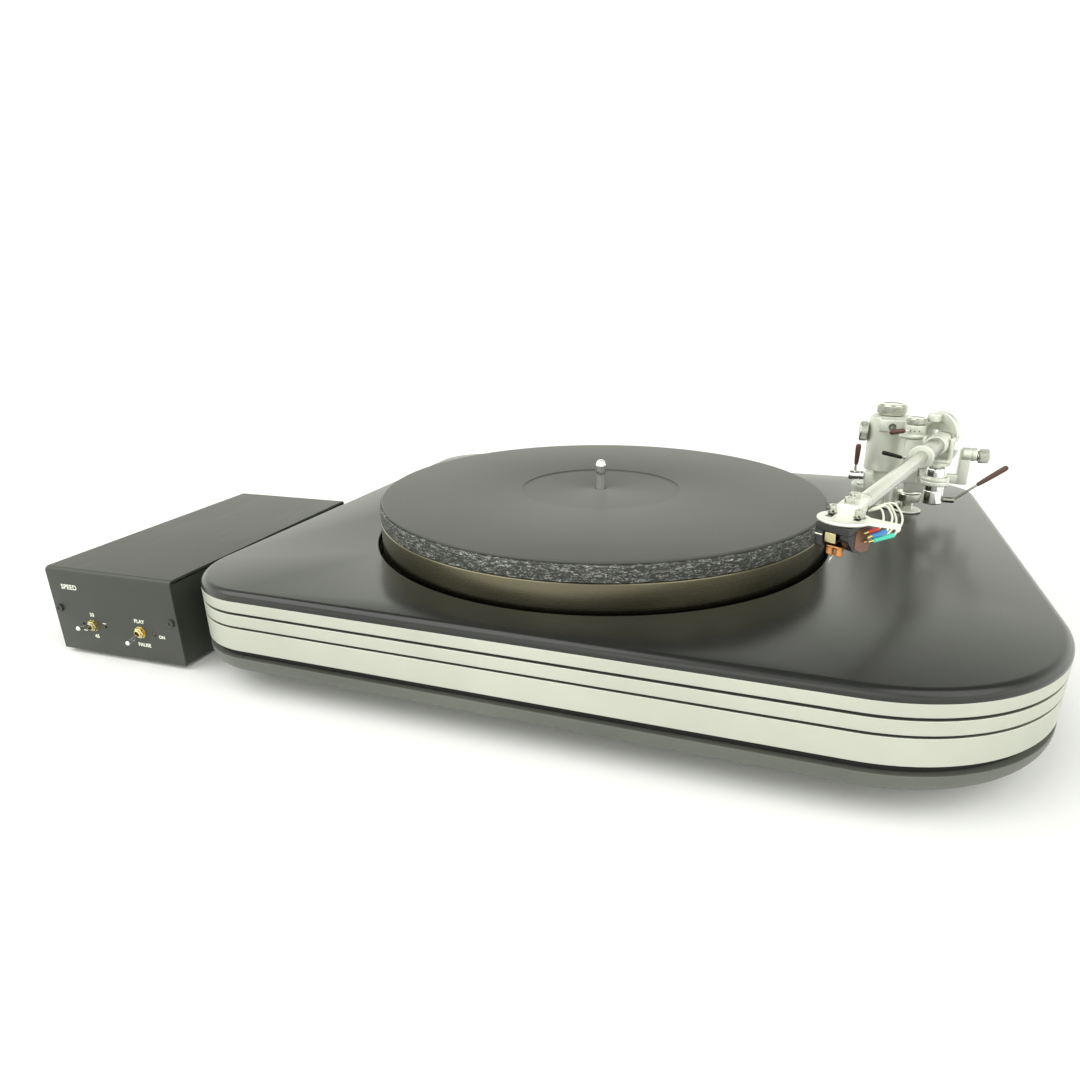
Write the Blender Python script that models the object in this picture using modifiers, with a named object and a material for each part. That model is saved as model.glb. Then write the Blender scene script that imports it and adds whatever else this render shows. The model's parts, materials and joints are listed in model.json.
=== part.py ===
"""Belt-drive record player: layered plinth, heavy platter, pivoted tonearm and a separate control unit.

Sizes are in millimetres and turned into metres as the meshes are made. Plan positions are measured
from the platter's axis; heights from the surface the player stands on, or from the plinth's top face.
"""
import math

import bmesh
import bpy
from mathutils import Matrix, Vector

MM = 0.001
GAP = 0.3  # clearance left between touching pieces

# Plinth: a stack of plates with one rounded outline
PLINTH_LEFT, PLINTH_RIGHT = -213.5, 267.0
PLINTH_FRONT, PLINTH_REAR = -183.0, 208.5
CORNER_RADII = {"front_left": 50.0, "front_right": 101.0, "rear_right": 35.0, "rear_left": 45.0}
CORNER_STEPS = 8
FOOT_TOP = 13.7
BASE_PLATE = (14.0, 25.7)
ISOLATION = (26.0, 30.6)
LOWER_PLATE = (30.9, 44.8)
LOWER_SHEET = (45.1, 46.1)
MIDDLE_PLATE = (46.4, 53.4)
UPPER_SHEET = (53.7, 54.9)
UPPER_PLATE = (55.2, 61.7)
TOP_PLATE = (62.0, 67.4)
DECK = TOP_PLATE[1]
TOP_ROUND = 4.9
BASE_ROUND = 10.0
SHEET_INSET = 1.0
ISOLATION_INSET = 3.5
FOOT_PLACES = ((-140.0, -110.0), (190.0, -100.0), (25.0, 140.0))
FOOT_RADIUS = 22.0

# Platter and drive
WELL_RADIUS = 154.3
PLATTER_RADIUS = 151.5
PLATTER_BODY = (51.0, 83.6)
PLATTER_RIM_INSIDE = 139.0
PLATTER_WEB = 76.0
GRAPHITE = (83.9, 93.6)
MAT = (93.9, 95.4)
MAT_RADIUS = 150.0
LABEL_RADIUS = 55.0
LABEL_DEPTH = 0.7
SPINDLE_TOP = 114.7
SPINDLE_RADIUS = 3.6
SHAFT_RADIUS = 5.0
SHAFT_FOOT = 33.3
HUB = (60.5, 75.7)
HUB_RADIUS = 60.0
BEARING_RADIUS = 16.0
BEARING_TOP = 58.5
BELT = (64.8, 68.8)
BELT_CLEARANCE = 0.5
BELT_THICKNESS = 0.9
MOTOR_PLACE = (-75.0, 66.0)
MOTOR_RADIUS = 25.0
PULLEY_RADIUS = 9.0
ROUND_STEPS = 60
MIDDLE_STEPS = 24

# Control unit: folded steel box beside the plinth
UNIT_PLACE = (-324.1, -172.0)
UNIT_TURN = math.radians(2.13)
UNIT_WIDTH, UNIT_DEPTH = 100.2, 190.4
UNIT_BOTTOM, UNIT_TOP = 3.0, 60.7
SHEET_METAL = 1.6
FOLD_RADIUS = 3.0
SIDE_INSET = 1.6
SWITCH_HEIGHT = 22.7
SPEED_SWITCH_X, PLAY_SWITCH_X = 30.3, 68.8
TOGGLE_THROW = math.radians(13.0)
LED_PLACE = (79.5, 22.3)

# Tonearm: heights from the deck unless the name says otherwise
PIVOT = (219.4, 76.0)
PIVOT_HEIGHT = 56.8
ARM_TURN = math.radians(-16.7)
ARM_RISE = math.radians(-1.2)
TUBE_RADIUS = 4.2
TUBE_END = -209.8
NECK_RADIUS = 5.8
COLLAR = (-59.0, -62.0)
HEAD_CENTRE = -231.0
HEAD_RADIUS = 11.6
HEAD_PLATE = (-1.3, 0.5)
HEAD_BLOCK_TOP = 5.4
CARTRIDGE_TURN = math.radians(-16.0)
TOWER_PLACE = (192.4, 132.0)
TOWER = (24.6, 66.5)
TOWER_RADIUS = 14.8
POST_RADIUS = 10.0
RING_PLACE = (205.6, 92.0)
NUT_PLACE = (209.3, 104.0)
CUE_PLACE = (218.5, 60.0)
CUE_LEVER_HEIGHT = 21.5
BRACKET_Y = 120.0
BRACKET_HEIGHT = 41.8
YOKE_PLATE_PLACE = (222.5, 96.8, PIVOT_HEIGHT)
YOKE_PLATE_TURN = math.radians(34.3)
YOKE_PLATE_RADIUS = 18.7
YOKE_PLATE_HALF = 1.9
SMALL_STEPS = 16

# Middle of the bounding box, seen from the platter's axis: the model's origin lies under it
BOX_MIDDLE = (-32.07, 12.75)

for old in list(bpy.data.objects):
    bpy.data.objects.remove(old)

parts = bpy.data.collections.new("record_player")
cutters = bpy.data.collections.new("cutters")
for group in (parts, cutters):
    bpy.context.scene.collection.children.link(group)


# ---------------------------------------------------------------- helpers
def metres(values):
    """Turn a tuple of millimetres into a vector in metres."""
    return Vector([value * MM for value in values])


def empty(name, parent=None, at=(0, 0, 0), turn=(0, 0, 0)):
    """Make a guide that pieces hang from, at a place given in millimetres."""
    guide = bpy.data.objects.new(name, None)
    parts.objects.link(guide)
    guide.parent = parent
    guide.location = metres(at)
    guide.rotation_euler = turn
    return guide


def put(name, mesh, used, parent, at=(0, 0, 0), turn=(0, 0, 0)):
    """Link a mesh or curve as a piece; without a finish it is a cutter."""
    piece = bpy.data.objects.new(name, mesh)
    (parts if used else cutters).objects.link(piece)
    piece.parent = parent
    piece.location = metres(at)
    piece.rotation_euler = turn
    if used:
        mesh.materials.append(used)
    else:
        piece.hide_render = True
        piece.display_type = "WIRE"
    return piece


def finish(name, colour, roughness, metallic):
    """A Principled material with one colour, roughness and metallic value."""
    made = bpy.data.materials.new(name)
    made.use_nodes = True
    shader = made.node_tree.nodes["Principled BSDF"]
    shader.inputs["Base Color"].default_value = (*colour, 1.0)
    shader.inputs["Roughness"].default_value = roughness
    shader.inputs["Metallic"].default_value = metallic
    return made


def smooth(mesh):
    """Smooth shading that keeps the hard edges of turned and boxed pieces."""
    mesh.shade_smooth()
    mesh.set_sharp_from_angle(angle=math.radians(35))


def box_mesh(name, size, middle=(0, 0, 0), turn=0.0):
    """A box of a given size, centred on a point and turned about Z."""
    bm = bmesh.new()
    bmesh.ops.create_cube(bm, size=1.0)
    scale = Matrix.Diagonal((*metres(size), 1.0))
    bm.transform(Matrix.Translation(metres(middle)) @ Matrix.Rotation(turn, 4, "Z") @ scale)
    mesh = bpy.data.meshes.new(name)
    bm.to_mesh(mesh)
    bm.free()
    return mesh


def rod_mesh(name, start, end, radius, end_radius=None, sides=SMALL_STEPS):
    """A round bar or cone between two points."""
    first, last = metres(start), metres(end)
    span = last - first
    bm = bmesh.new()
    bmesh.ops.create_cone(
        bm, cap_ends=True, segments=sides, depth=span.length,
        radius1=radius * MM, radius2=(radius if end_radius is None else end_radius) * MM)
    bm.transform(Matrix.Translation((first + last) / 2) @ span.to_track_quat("Z", "Y").to_matrix().to_4x4())
    mesh = bpy.data.meshes.new(name)
    bm.to_mesh(mesh)
    bm.free()
    smooth(mesh)
    return mesh


def turned(name, profile, used, parent, at=(0, 0, 0), turn=(0, 0, 0), steps=SMALL_STEPS, ring=False):
    """Spin a profile of (radius, height) points that runs down the outer side, top to bottom."""
    mesh = bpy.data.meshes.new(name)
    points = [metres((radius, 0, height)) for radius, height in profile]
    edges = [(i, i + 1) for i in range(len(points) - 1)]
    if ring:
        edges.append((len(points) - 1, 0))
    mesh.from_pydata(points, edges, [])
    piece = put(name, mesh, used, parent, at, turn)
    screw = piece.modifiers.new("Spin", "SCREW")
    screw.axis = "Z"
    screw.steps = screw.render_steps = steps
    screw.use_merge_vertices = True
    screw.merge_threshold = 0.00002
    screw.use_smooth_shade = False
    return piece


def slab_mesh(name, loops, low, high, round_top=0.0, round_bottom=0.0):
    """A flat plate from closed outlines (the first is the outer one), with rounded rims if asked."""
    curve = bpy.data.curves.new(name, "CURVE")
    curve.dimensions = "2D"
    curve.fill_mode = "BOTH"
    curve.extrude = (high - low) / 2 * MM
    for loop in loops:
        spline = curve.splines.new("POLY")
        spline.points.add(len(loop) - 1)
        for point, (x, y) in zip(spline.points, loop):
            point.co = (x * MM, y * MM, 0.0, 1.0)
        spline.use_cyclic_u = True
    drawn = bpy.data.objects.new(name, curve)
    cutters.objects.link(drawn)
    bpy.context.view_layer.update()
    evaluated = drawn.evaluated_get(bpy.context.evaluated_depsgraph_get())
    mesh = bpy.data.meshes.new_from_object(evaluated)
    bpy.data.objects.remove(drawn)
    bpy.data.curves.remove(curve)
    bm = bmesh.new()
    bm.from_mesh(mesh)
    bmesh.ops.remove_doubles(bm, verts=bm.verts, dist=0.00001)
    if len(loops) == 1:
        bmesh.ops.dissolve_limit(bm, angle_limit=0.001, verts=bm.verts, edges=bm.edges)
    bmesh.ops.translate(bm, verts=bm.verts, vec=(0, 0, (low + high) / 2 * MM))
    for height, radius in ((high, round_top), (low, round_bottom)):
        if radius:
            rim = [edge for edge in bm.edges
                   if all(abs(vert.co.z - height * MM) < 0.00001 for vert in edge.verts)]
            bmesh.ops.bevel(bm, geom=rim, offset=radius * MM, segments=4, profile=0.5, affect="EDGES")
    bmesh.ops.recalc_face_normals(bm, faces=bm.faces)
    bm.to_mesh(mesh)
    bm.free()
    smooth(mesh)
    return mesh


def tool(parent, mesh, at=(0, 0, 0), turn=(0, 0, 0)):
    """A hidden helper solid for a Boolean."""
    return put("cutter", mesh, None, parent, at, turn)


def combine(piece, operation, *helpers):
    """Cut helpers from a piece, or join them to it."""
    for helper in helpers:
        step = piece.modifiers.new(operation.title(), "BOOLEAN")
        step.operation = operation
        step.object = helper
        step.solver = "EXACT"
    return piece


def arc(middle, radius, start, end, steps):
    """Points along an arc, angles in degrees."""
    angles = [math.radians(start + (end - start) * i / steps) for i in range(steps + 1)]
    return [(middle[0] + radius * math.cos(a), middle[1] + radius * math.sin(a)) for a in angles]


def circle(middle, radius, steps=ROUND_STEPS):
    """Points round a full circle, without the last one that meets the first."""
    return arc(middle, radius, 0, 360, steps)[:-1]


def plinth_outline(inset=0.0):
    """The plinth's outline in plan, anticlockwise from the front left corner."""
    left, right = PLINTH_LEFT + inset, PLINTH_RIGHT - inset
    front, rear = PLINTH_FRONT + inset, PLINTH_REAR - inset
    corners = (("front_left", left, front, 1, 1, 180), ("front_right", right, front, -1, 1, 270),
               ("rear_right", right, rear, -1, -1, 0), ("rear_left", left, rear, 1, -1, 90))
    points = []
    for corner, x, y, side, way, start in corners:
        radius = CORNER_RADII[corner] - inset
        points += arc((x + side * radius, y + way * radius), radius, start, start + 90, CORNER_STEPS)
    return points


# ---------------------------------------------------------------- finishes
black_lacquer = finish("black_lacquer", (0.028, 0.029, 0.030), 0.32, 0.0)
brushed_aluminium = finish("brushed_aluminium", (0.72, 0.73, 0.70), 0.35, 1.0)
satin_silver = finish("satin_silver", (0.80, 0.81, 0.77), 0.30, 1.0)
chrome = finish("chrome", (0.85, 0.85, 0.86), 0.08, 1.0)
rubber = finish("rubber", (0.012, 0.012, 0.012), 0.85, 0.0)
graphite_finish = finish("graphite", (0.10, 0.10, 0.10), 0.55, 0.0)
bronze_anodised = finish("bronze_anodised", (0.10, 0.085, 0.06), 0.35, 1.0)
mat_vinyl = finish("mat_vinyl", (0.03, 0.03, 0.032), 0.55, 0.0)
steel = finish("steel", (0.62, 0.62, 0.62), 0.22, 1.0)
brass = finish("brass", (0.75, 0.58, 0.28), 0.25, 1.0)
black_enamel = finish("black_enamel", (0.02, 0.021, 0.022), 0.45, 0.0)
base_enamel = finish("base_enamel", (0.06, 0.065, 0.065), 0.5, 0.0)
rosewood = finish("rosewood", (0.14, 0.045, 0.03), 0.4, 0.0)
ivory = finish("ivory_plastic", (0.80, 0.80, 0.72), 0.4, 0.0)
cartridge_black = finish("cartridge_black", (0.02, 0.02, 0.02), 0.3, 0.0)
board_green = finish("board_green", (0.03, 0.16, 0.06), 0.5, 0.0)
copper = finish("copper", (0.72, 0.36, 0.16), 0.35, 1.0)
lamp = finish("lamp_lens", (0.6, 0.1, 0.08), 0.2, 0.0)

origin = empty("player_origin", at=(-BOX_MIDDLE[0], -BOX_MIDDLE[1], 0))
platter_axis = empty("platter_axis", origin)
deck = empty("deck", origin, at=(0, 0, DECK))


# ---------------------------------------------------------------- plinth
def build_plinth():
    """Feet, base, isolation layer and the stack of plates with the platter's well through the upper ones."""
    for number, (x, y) in enumerate(FOOT_PLACES, start=1):
        chamfer = 2.0
        profile = [(0, FOOT_TOP), (FOOT_RADIUS, FOOT_TOP), (FOOT_RADIUS, chamfer),
                   (FOOT_RADIUS - chamfer, 0), (0, 0)]
        turned(f"foot_{number}", profile, rubber, origin, (x, y, 0), steps=MIDDLE_STEPS)
    put("base_plate", slab_mesh("base_plate", [plinth_outline()], *BASE_PLATE, round_bottom=BASE_ROUND),
        base_enamel, origin)
    well = circle((0, 0), WELL_RADIUS)
    drive_holes = [circle((0, 0), BEARING_RADIUS + GAP, MIDDLE_STEPS),
                   circle(MOTOR_PLACE, MOTOR_RADIUS + GAP, MIDDLE_STEPS)]
    put("isolation_layer", slab_mesh("isolation_layer", [plinth_outline(ISOLATION_INSET), *drive_holes],
                                     *ISOLATION),
        rubber, origin)
    lower = put("lower_plate", slab_mesh("lower_plate", [plinth_outline(), *drive_holes], *LOWER_PLATE),
                brushed_aluminium, origin)
    socket_height = sum(LOWER_PLATE) / 2
    pocket = rod_mesh("pocket", (-150, PLINTH_REAR + 1, socket_height),
                      (-150, PLINTH_REAR - 18, socket_height), 5.6)
    combine(lower, "DIFFERENCE", tool(origin, pocket))
    shell = rod_mesh("motor_socket", (-150, PLINTH_REAR, socket_height),
                     (-150, PLINTH_REAR - 17.5, socket_height), 5.2)
    socket = put("motor_socket", shell, chrome, origin)
    recess = rod_mesh("recess", (-150, PLINTH_REAR + 1, socket_height),
                      (-150, PLINTH_REAR - 2.4, socket_height), 3.8)
    combine(socket, "DIFFERENCE", tool(origin, recess))
    for name, span, inset, used in (
            ("lower_damping_sheet", LOWER_SHEET, SHEET_INSET, rubber),
            ("middle_plate", MIDDLE_PLATE, 0.0, brushed_aluminium),
            ("upper_damping_sheet", UPPER_SHEET, SHEET_INSET, rubber),
            ("upper_plate", UPPER_PLATE, 0.0, brushed_aluminium)):
        put(name, slab_mesh(name, [plinth_outline(inset), well], *span), used, origin)
    top = put("top_plate", slab_mesh("top_plate", [plinth_outline()], *TOP_PLATE, round_top=TOP_ROUND),
              black_lacquer, origin)
    hole = rod_mesh("well", (0, 0, TOP_PLATE[0] - 5), (0, 0, DECK + 5), WELL_RADIUS, sides=ROUND_STEPS)
    combine(top, "DIFFERENCE", tool(origin, hole))


# ---------------------------------------------------------------- platter and drive
def belt_loop(grow):
    """Outline of the belt round the hub and the pulley, grown from their surfaces."""
    distance = math.hypot(*MOTOR_PLACE)
    heading = math.degrees(math.atan2(MOTOR_PLACE[1], MOTOR_PLACE[0]))
    hub, pulley = HUB_RADIUS + grow, PULLEY_RADIUS + grow
    wrap = math.degrees(math.acos((hub - pulley) / distance))
    return (arc((0, 0), hub, heading + wrap, heading + 360 - wrap, 30)
            + arc(MOTOR_PLACE, pulley, heading - wrap, heading + wrap, 10))


def build_drive():
    """Bearing, spindle, hub, platter layers, motor, pulley and belt."""
    flange = 28.0
    bore = SHAFT_RADIUS + 0.4
    bearing = [(BEARING_RADIUS - 4, BEARING_TOP), (BEARING_RADIUS - 4, 49), (flange, 49), (flange, 45.1),
               (BEARING_RADIUS, 45.1), (BEARING_RADIUS, 27), (0, 27), (0, 33), (bore, 33),
               (bore, BEARING_TOP), (BEARING_RADIUS - 4, BEARING_TOP)]
    turned("bearing_housing", bearing, steel, platter_axis, steps=MIDDLE_STEPS)

    tip = SPINDLE_RADIUS - 0.8
    spindle = [(0, SPINDLE_TOP), (tip, SPINDLE_TOP), (SPINDLE_RADIUS, SPINDLE_TOP - 1.6),
               (SPINDLE_RADIUS, 83.3),
               (SHAFT_RADIUS, 83.3), (SHAFT_RADIUS, SHAFT_FOOT), (0, SHAFT_FOOT)]
    turned("spindle", spindle, steel, platter_axis, steps=MIDDLE_STEPS)
    fit = SHAFT_RADIUS + GAP
    hub = [(fit, HUB[1]), (HUB_RADIUS, HUB[1]), (HUB_RADIUS, HUB[0]), (fit, HUB[0])]
    turned("drive_hub", hub, brushed_aluminium, platter_axis, steps=ROUND_STEPS, ring=True)
    low, high = PLATTER_BODY
    body = [(fit, high), (PLATTER_RADIUS - 0.3, high), (PLATTER_RADIUS, high - 0.3),
            (PLATTER_RADIUS, low + 1), (PLATTER_RADIUS - 1, low), (PLATTER_RIM_INSIDE, low),
            (PLATTER_RIM_INSIDE, PLATTER_WEB), (fit, PLATTER_WEB)]
    turned("platter_body", body, bronze_anodised, platter_axis, steps=ROUND_STEPS, ring=True)
    fit = SPINDLE_RADIUS + GAP
    low, high = GRAPHITE
    layer = [(fit, high), (PLATTER_RADIUS - 0.1, high), (PLATTER_RADIUS - 0.1, low), (fit, low)]
    turned("graphite_layer", layer, graphite_finish, platter_axis, steps=ROUND_STEPS, ring=True)
    low, high = MAT
    mat = [(fit, high - LABEL_DEPTH), (LABEL_RADIUS, high - LABEL_DEPTH), (LABEL_RADIUS, high),
           (MAT_RADIUS, high),
           (MAT_RADIUS, low), (fit, low)]
    turned("platter_mat", mat, mat_vinyl, platter_axis, steps=ROUND_STEPS, ring=True)

    motor_axis = empty("motor_axis", origin, at=(*MOTOR_PLACE, 0))
    shaft = 2.0
    housing = [(12, 58), (12, 49.2), (32, 49.2), (32, 45.1), (MOTOR_RADIUS, 45.1), (MOTOR_RADIUS, 27),
               (0, 27),
               (0, 49.5), (shaft + GAP, 49.5), (shaft + GAP, 58), (12, 58)]
    turned("motor_housing", housing, steel, motor_axis, steps=MIDDLE_STEPS)
    pulley = [(0, 72), (PULLEY_RADIUS + 1, 72), (PULLEY_RADIUS + 1, 70.5), (PULLEY_RADIUS, 70),
              (PULLEY_RADIUS, 63.5),
              (PULLEY_RADIUS + 1, 63), (PULLEY_RADIUS + 1, 61.5), (shaft, 61.5), (shaft, 50), (0, 50)]
    turned("motor_pulley", pulley, brass, motor_axis)
    loops = [belt_loop(BELT_CLEARANCE + BELT_THICKNESS), belt_loop(BELT_CLEARANCE)]
    put("drive_belt", slab_mesh("drive_belt", loops, *BELT), rubber, origin)


# ---------------------------------------------------------------- control unit
def build_switch(name, unit, x):
    """A toggle switch: body behind the panel, threaded bushing, and hexagon nut in front."""
    body = put(f"{name}_switch", box_mesh(name, (8, 12, 13), (x, 8.5, SWITCH_HEIGHT)), steel, unit)
    bushing = rod_mesh("bushing", (x, 3, SWITCH_HEIGHT), (x, -3.2, SWITCH_HEIGHT), 2.9)
    nut = rod_mesh("nut", (x, -GAP, SWITCH_HEIGHT), (x, -2.2, SWITCH_HEIGHT), 4.4, sides=6)
    combine(body, "UNION", tool(unit, bushing), tool(unit, nut))
    bore = rod_mesh("bore", (x, -4, SWITCH_HEIGHT), (x, 3.5, SWITCH_HEIGHT), 2.3)
    combine(body, "DIFFERENCE", tool(unit, bore))


def build_toggle(name, unit, x, tilt):
    """A lever on its own pivot: round foot inside the bushing and a slim stick that thickens to its tip."""
    pivot = empty(f"{name}_toggle_axis", unit, at=(x, 0.8, SWITCH_HEIGHT), turn=(tilt, 0, 0))
    stick = [(0, 12.8), (1.0, 12.8), (1.5, 12.0), (1.5, 10.6), (0.8, 1.0), (0.8, -1.5), (0, -1.5)]
    turned(f"{name}_toggle", stick, chrome, pivot, turn=(math.pi / 2, 0, 0), steps=12)


def build_control_unit():
    """Folded cover, chassis, feet strips, switches, lamp and the electronics inside."""
    unit = empty("control_unit_origin", origin, at=(*UNIT_PLACE, 0), turn=(0, 0, UNIT_TURN))
    low, high, depth, fold = UNIT_BOTTOM, UNIT_TOP, UNIT_DEPTH, FOLD_RADIUS
    inner = fold - SHEET_METAL
    outside = [(0, low), *arc((fold, high - fold), fold, 180, 90, 4),
               *arc((depth - fold, high - fold), fold, 90, 0, 4), (depth, low)]
    inside = [(depth - SHEET_METAL, low), *arc((depth - fold, high - fold), inner, 0, 90, 4),
              *arc((fold, high - fold), inner, 90, 180, 4), (SHEET_METAL, low)]
    upright = (math.pi / 2, 0, math.pi / 2)
    cover = put("control_cover", slab_mesh("control_cover", [outside + inside], GAP, UNIT_WIDTH - GAP),
                black_enamel, unit, turn=upright)
    holes = [(SPEED_SWITCH_X, SWITCH_HEIGHT, 3.3), (PLAY_SWITCH_X, SWITCH_HEIGHT, 3.3), (*LED_PLACE, 1.9)]
    for x, z, radius in holes:
        combine(cover, "DIFFERENCE", tool(unit, rod_mesh("hole", (x, -4, z), (x, 5, z), radius)))
    inlet_x, inlet_z = 27.0, 33.0
    lead_x = 74.0
    window = box_mesh("window", (28.4, 8, 20.4), (inlet_x, depth - 1, inlet_z))
    lead_hole = rod_mesh("lead_hole", (lead_x, depth - 5, inlet_z), (lead_x, depth + 4, inlet_z), 8.4)
    combine(cover, "DIFFERENCE", tool(unit, window), tool(unit, lead_hole))

    left, right = SIDE_INSET, UNIT_WIDTH - SIDE_INSET
    sheet, roof = SHEET_METAL, high - fold
    channel = [(left, low), (right, low), (right, roof), (right - sheet, roof),
               (right - sheet, low + sheet),
               (left + sheet, low + sheet), (left + sheet, roof), (left, roof)]
    put("control_chassis", slab_mesh("control_chassis", [channel], -(depth - sheet - GAP), -(sheet + GAP)),
        black_enamel, unit, turn=(math.pi / 2, 0, 0))
    for name, y in (("front", 25.0), ("rear", 165.0)):
        put(f"control_foot_{name}", box_mesh(name, (70, 10, low - GAP),
                                             (UNIT_WIDTH / 2, y, (low - GAP) / 2)), rubber, unit)

    build_switch("speed", unit, SPEED_SWITCH_X)
    build_switch("play", unit, PLAY_SWITCH_X)
    build_toggle("speed", unit, SPEED_SWITCH_X, -TOGGLE_THROW)
    build_toggle("play", unit, PLAY_SWITCH_X, TOGGLE_THROW)
    lens = [(0, 1.0), (0.9, 0.7), (1.5, -0.2), (1.5, -4.5), (0, -4.5)]
    turned("power_led", lens, lamp, unit, at=(LED_PLACE[0], 0, LED_PLACE[1]), turn=(math.pi / 2, 0, 0),
           steps=12)

    floor = low + sheet + GAP
    put("circuit_board", box_mesh("circuit_board", (82, 70, 1.6), (UNIT_WIDTH / 2, 62, floor + 0.8)),
        board_green, unit)
    core = [(13, floor + 28), (30, floor + 28), (32, floor + 26), (32, floor + 2), (30, floor), (13, floor)]
    turned("transformer", core, copper, unit, at=(UNIT_WIDTH / 2, 136, 0), steps=MIDDLE_STEPS, ring=True)
    inlet = put("mains_inlet", box_mesh("mains_inlet", (27.6, 16, 19.6), (inlet_x, depth - 8, inlet_z)),
                rubber, unit)
    mouth = box_mesh("mouth", (22.4, 14, 14.4), (inlet_x, depth - 6, inlet_z))
    combine(inlet, "DIFFERENCE", tool(unit, mouth))
    socket = put("lead_socket", rod_mesh(
        "lead_socket", (lead_x, depth - 14, inlet_z), (lead_x, depth + 0.5, inlet_z), 8.0), chrome, unit)
    recess = rod_mesh("recess", (lead_x, depth - 2.2, inlet_z), (lead_x, depth + 4, inlet_z), 6.0)
    combine(socket, "DIFFERENCE", tool(unit, recess))


# ---------------------------------------------------------------- tonearm: fixed base
def build_arm_base():
    """Base plate on the deck with the tower's post, a pillar and the clamp block, and the height nut."""
    x, y = TOWER_PLACE
    nut_x, nut_y = NUT_PLACE
    base = put("arm_base", rod_mesh("arm_base", (185, 125, GAP), (185, 125, 15), 15, sides=MIDDLE_STEPS),
               satin_silver, deck)
    joined = [
        rod_mesh("post", (x, y, 2), (x, y, 50), POST_RADIUS),
        rod_mesh("flange", (nut_x, nut_y, GAP), (nut_x, nut_y, 1.8), 13, sides=MIDDLE_STEPS),
        rod_mesh("screw", (nut_x, nut_y, 1), (nut_x, nut_y, 14.6), 4.0),
        rod_mesh("pillar", (197.8, 111, 1), (197.8, 111, 16), 3.9),
        box_mesh("bridge", (24, 20, 1.5), (199, 113, GAP + 0.75), math.radians(-40)),
        box_mesh("clamp", (6, 9, 14), (180.9, 113.6, 19)),
    ]
    combine(base, "UNION", *[tool(deck, mesh) for mesh in joined])
    nut = [(4.3, 14.5), (8.6, 14.5), (8.6, 8), (4.3, 8)]
    turned("height_nut", nut, steel, deck, at=(nut_x, nut_y, 0), ring=True)


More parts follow.
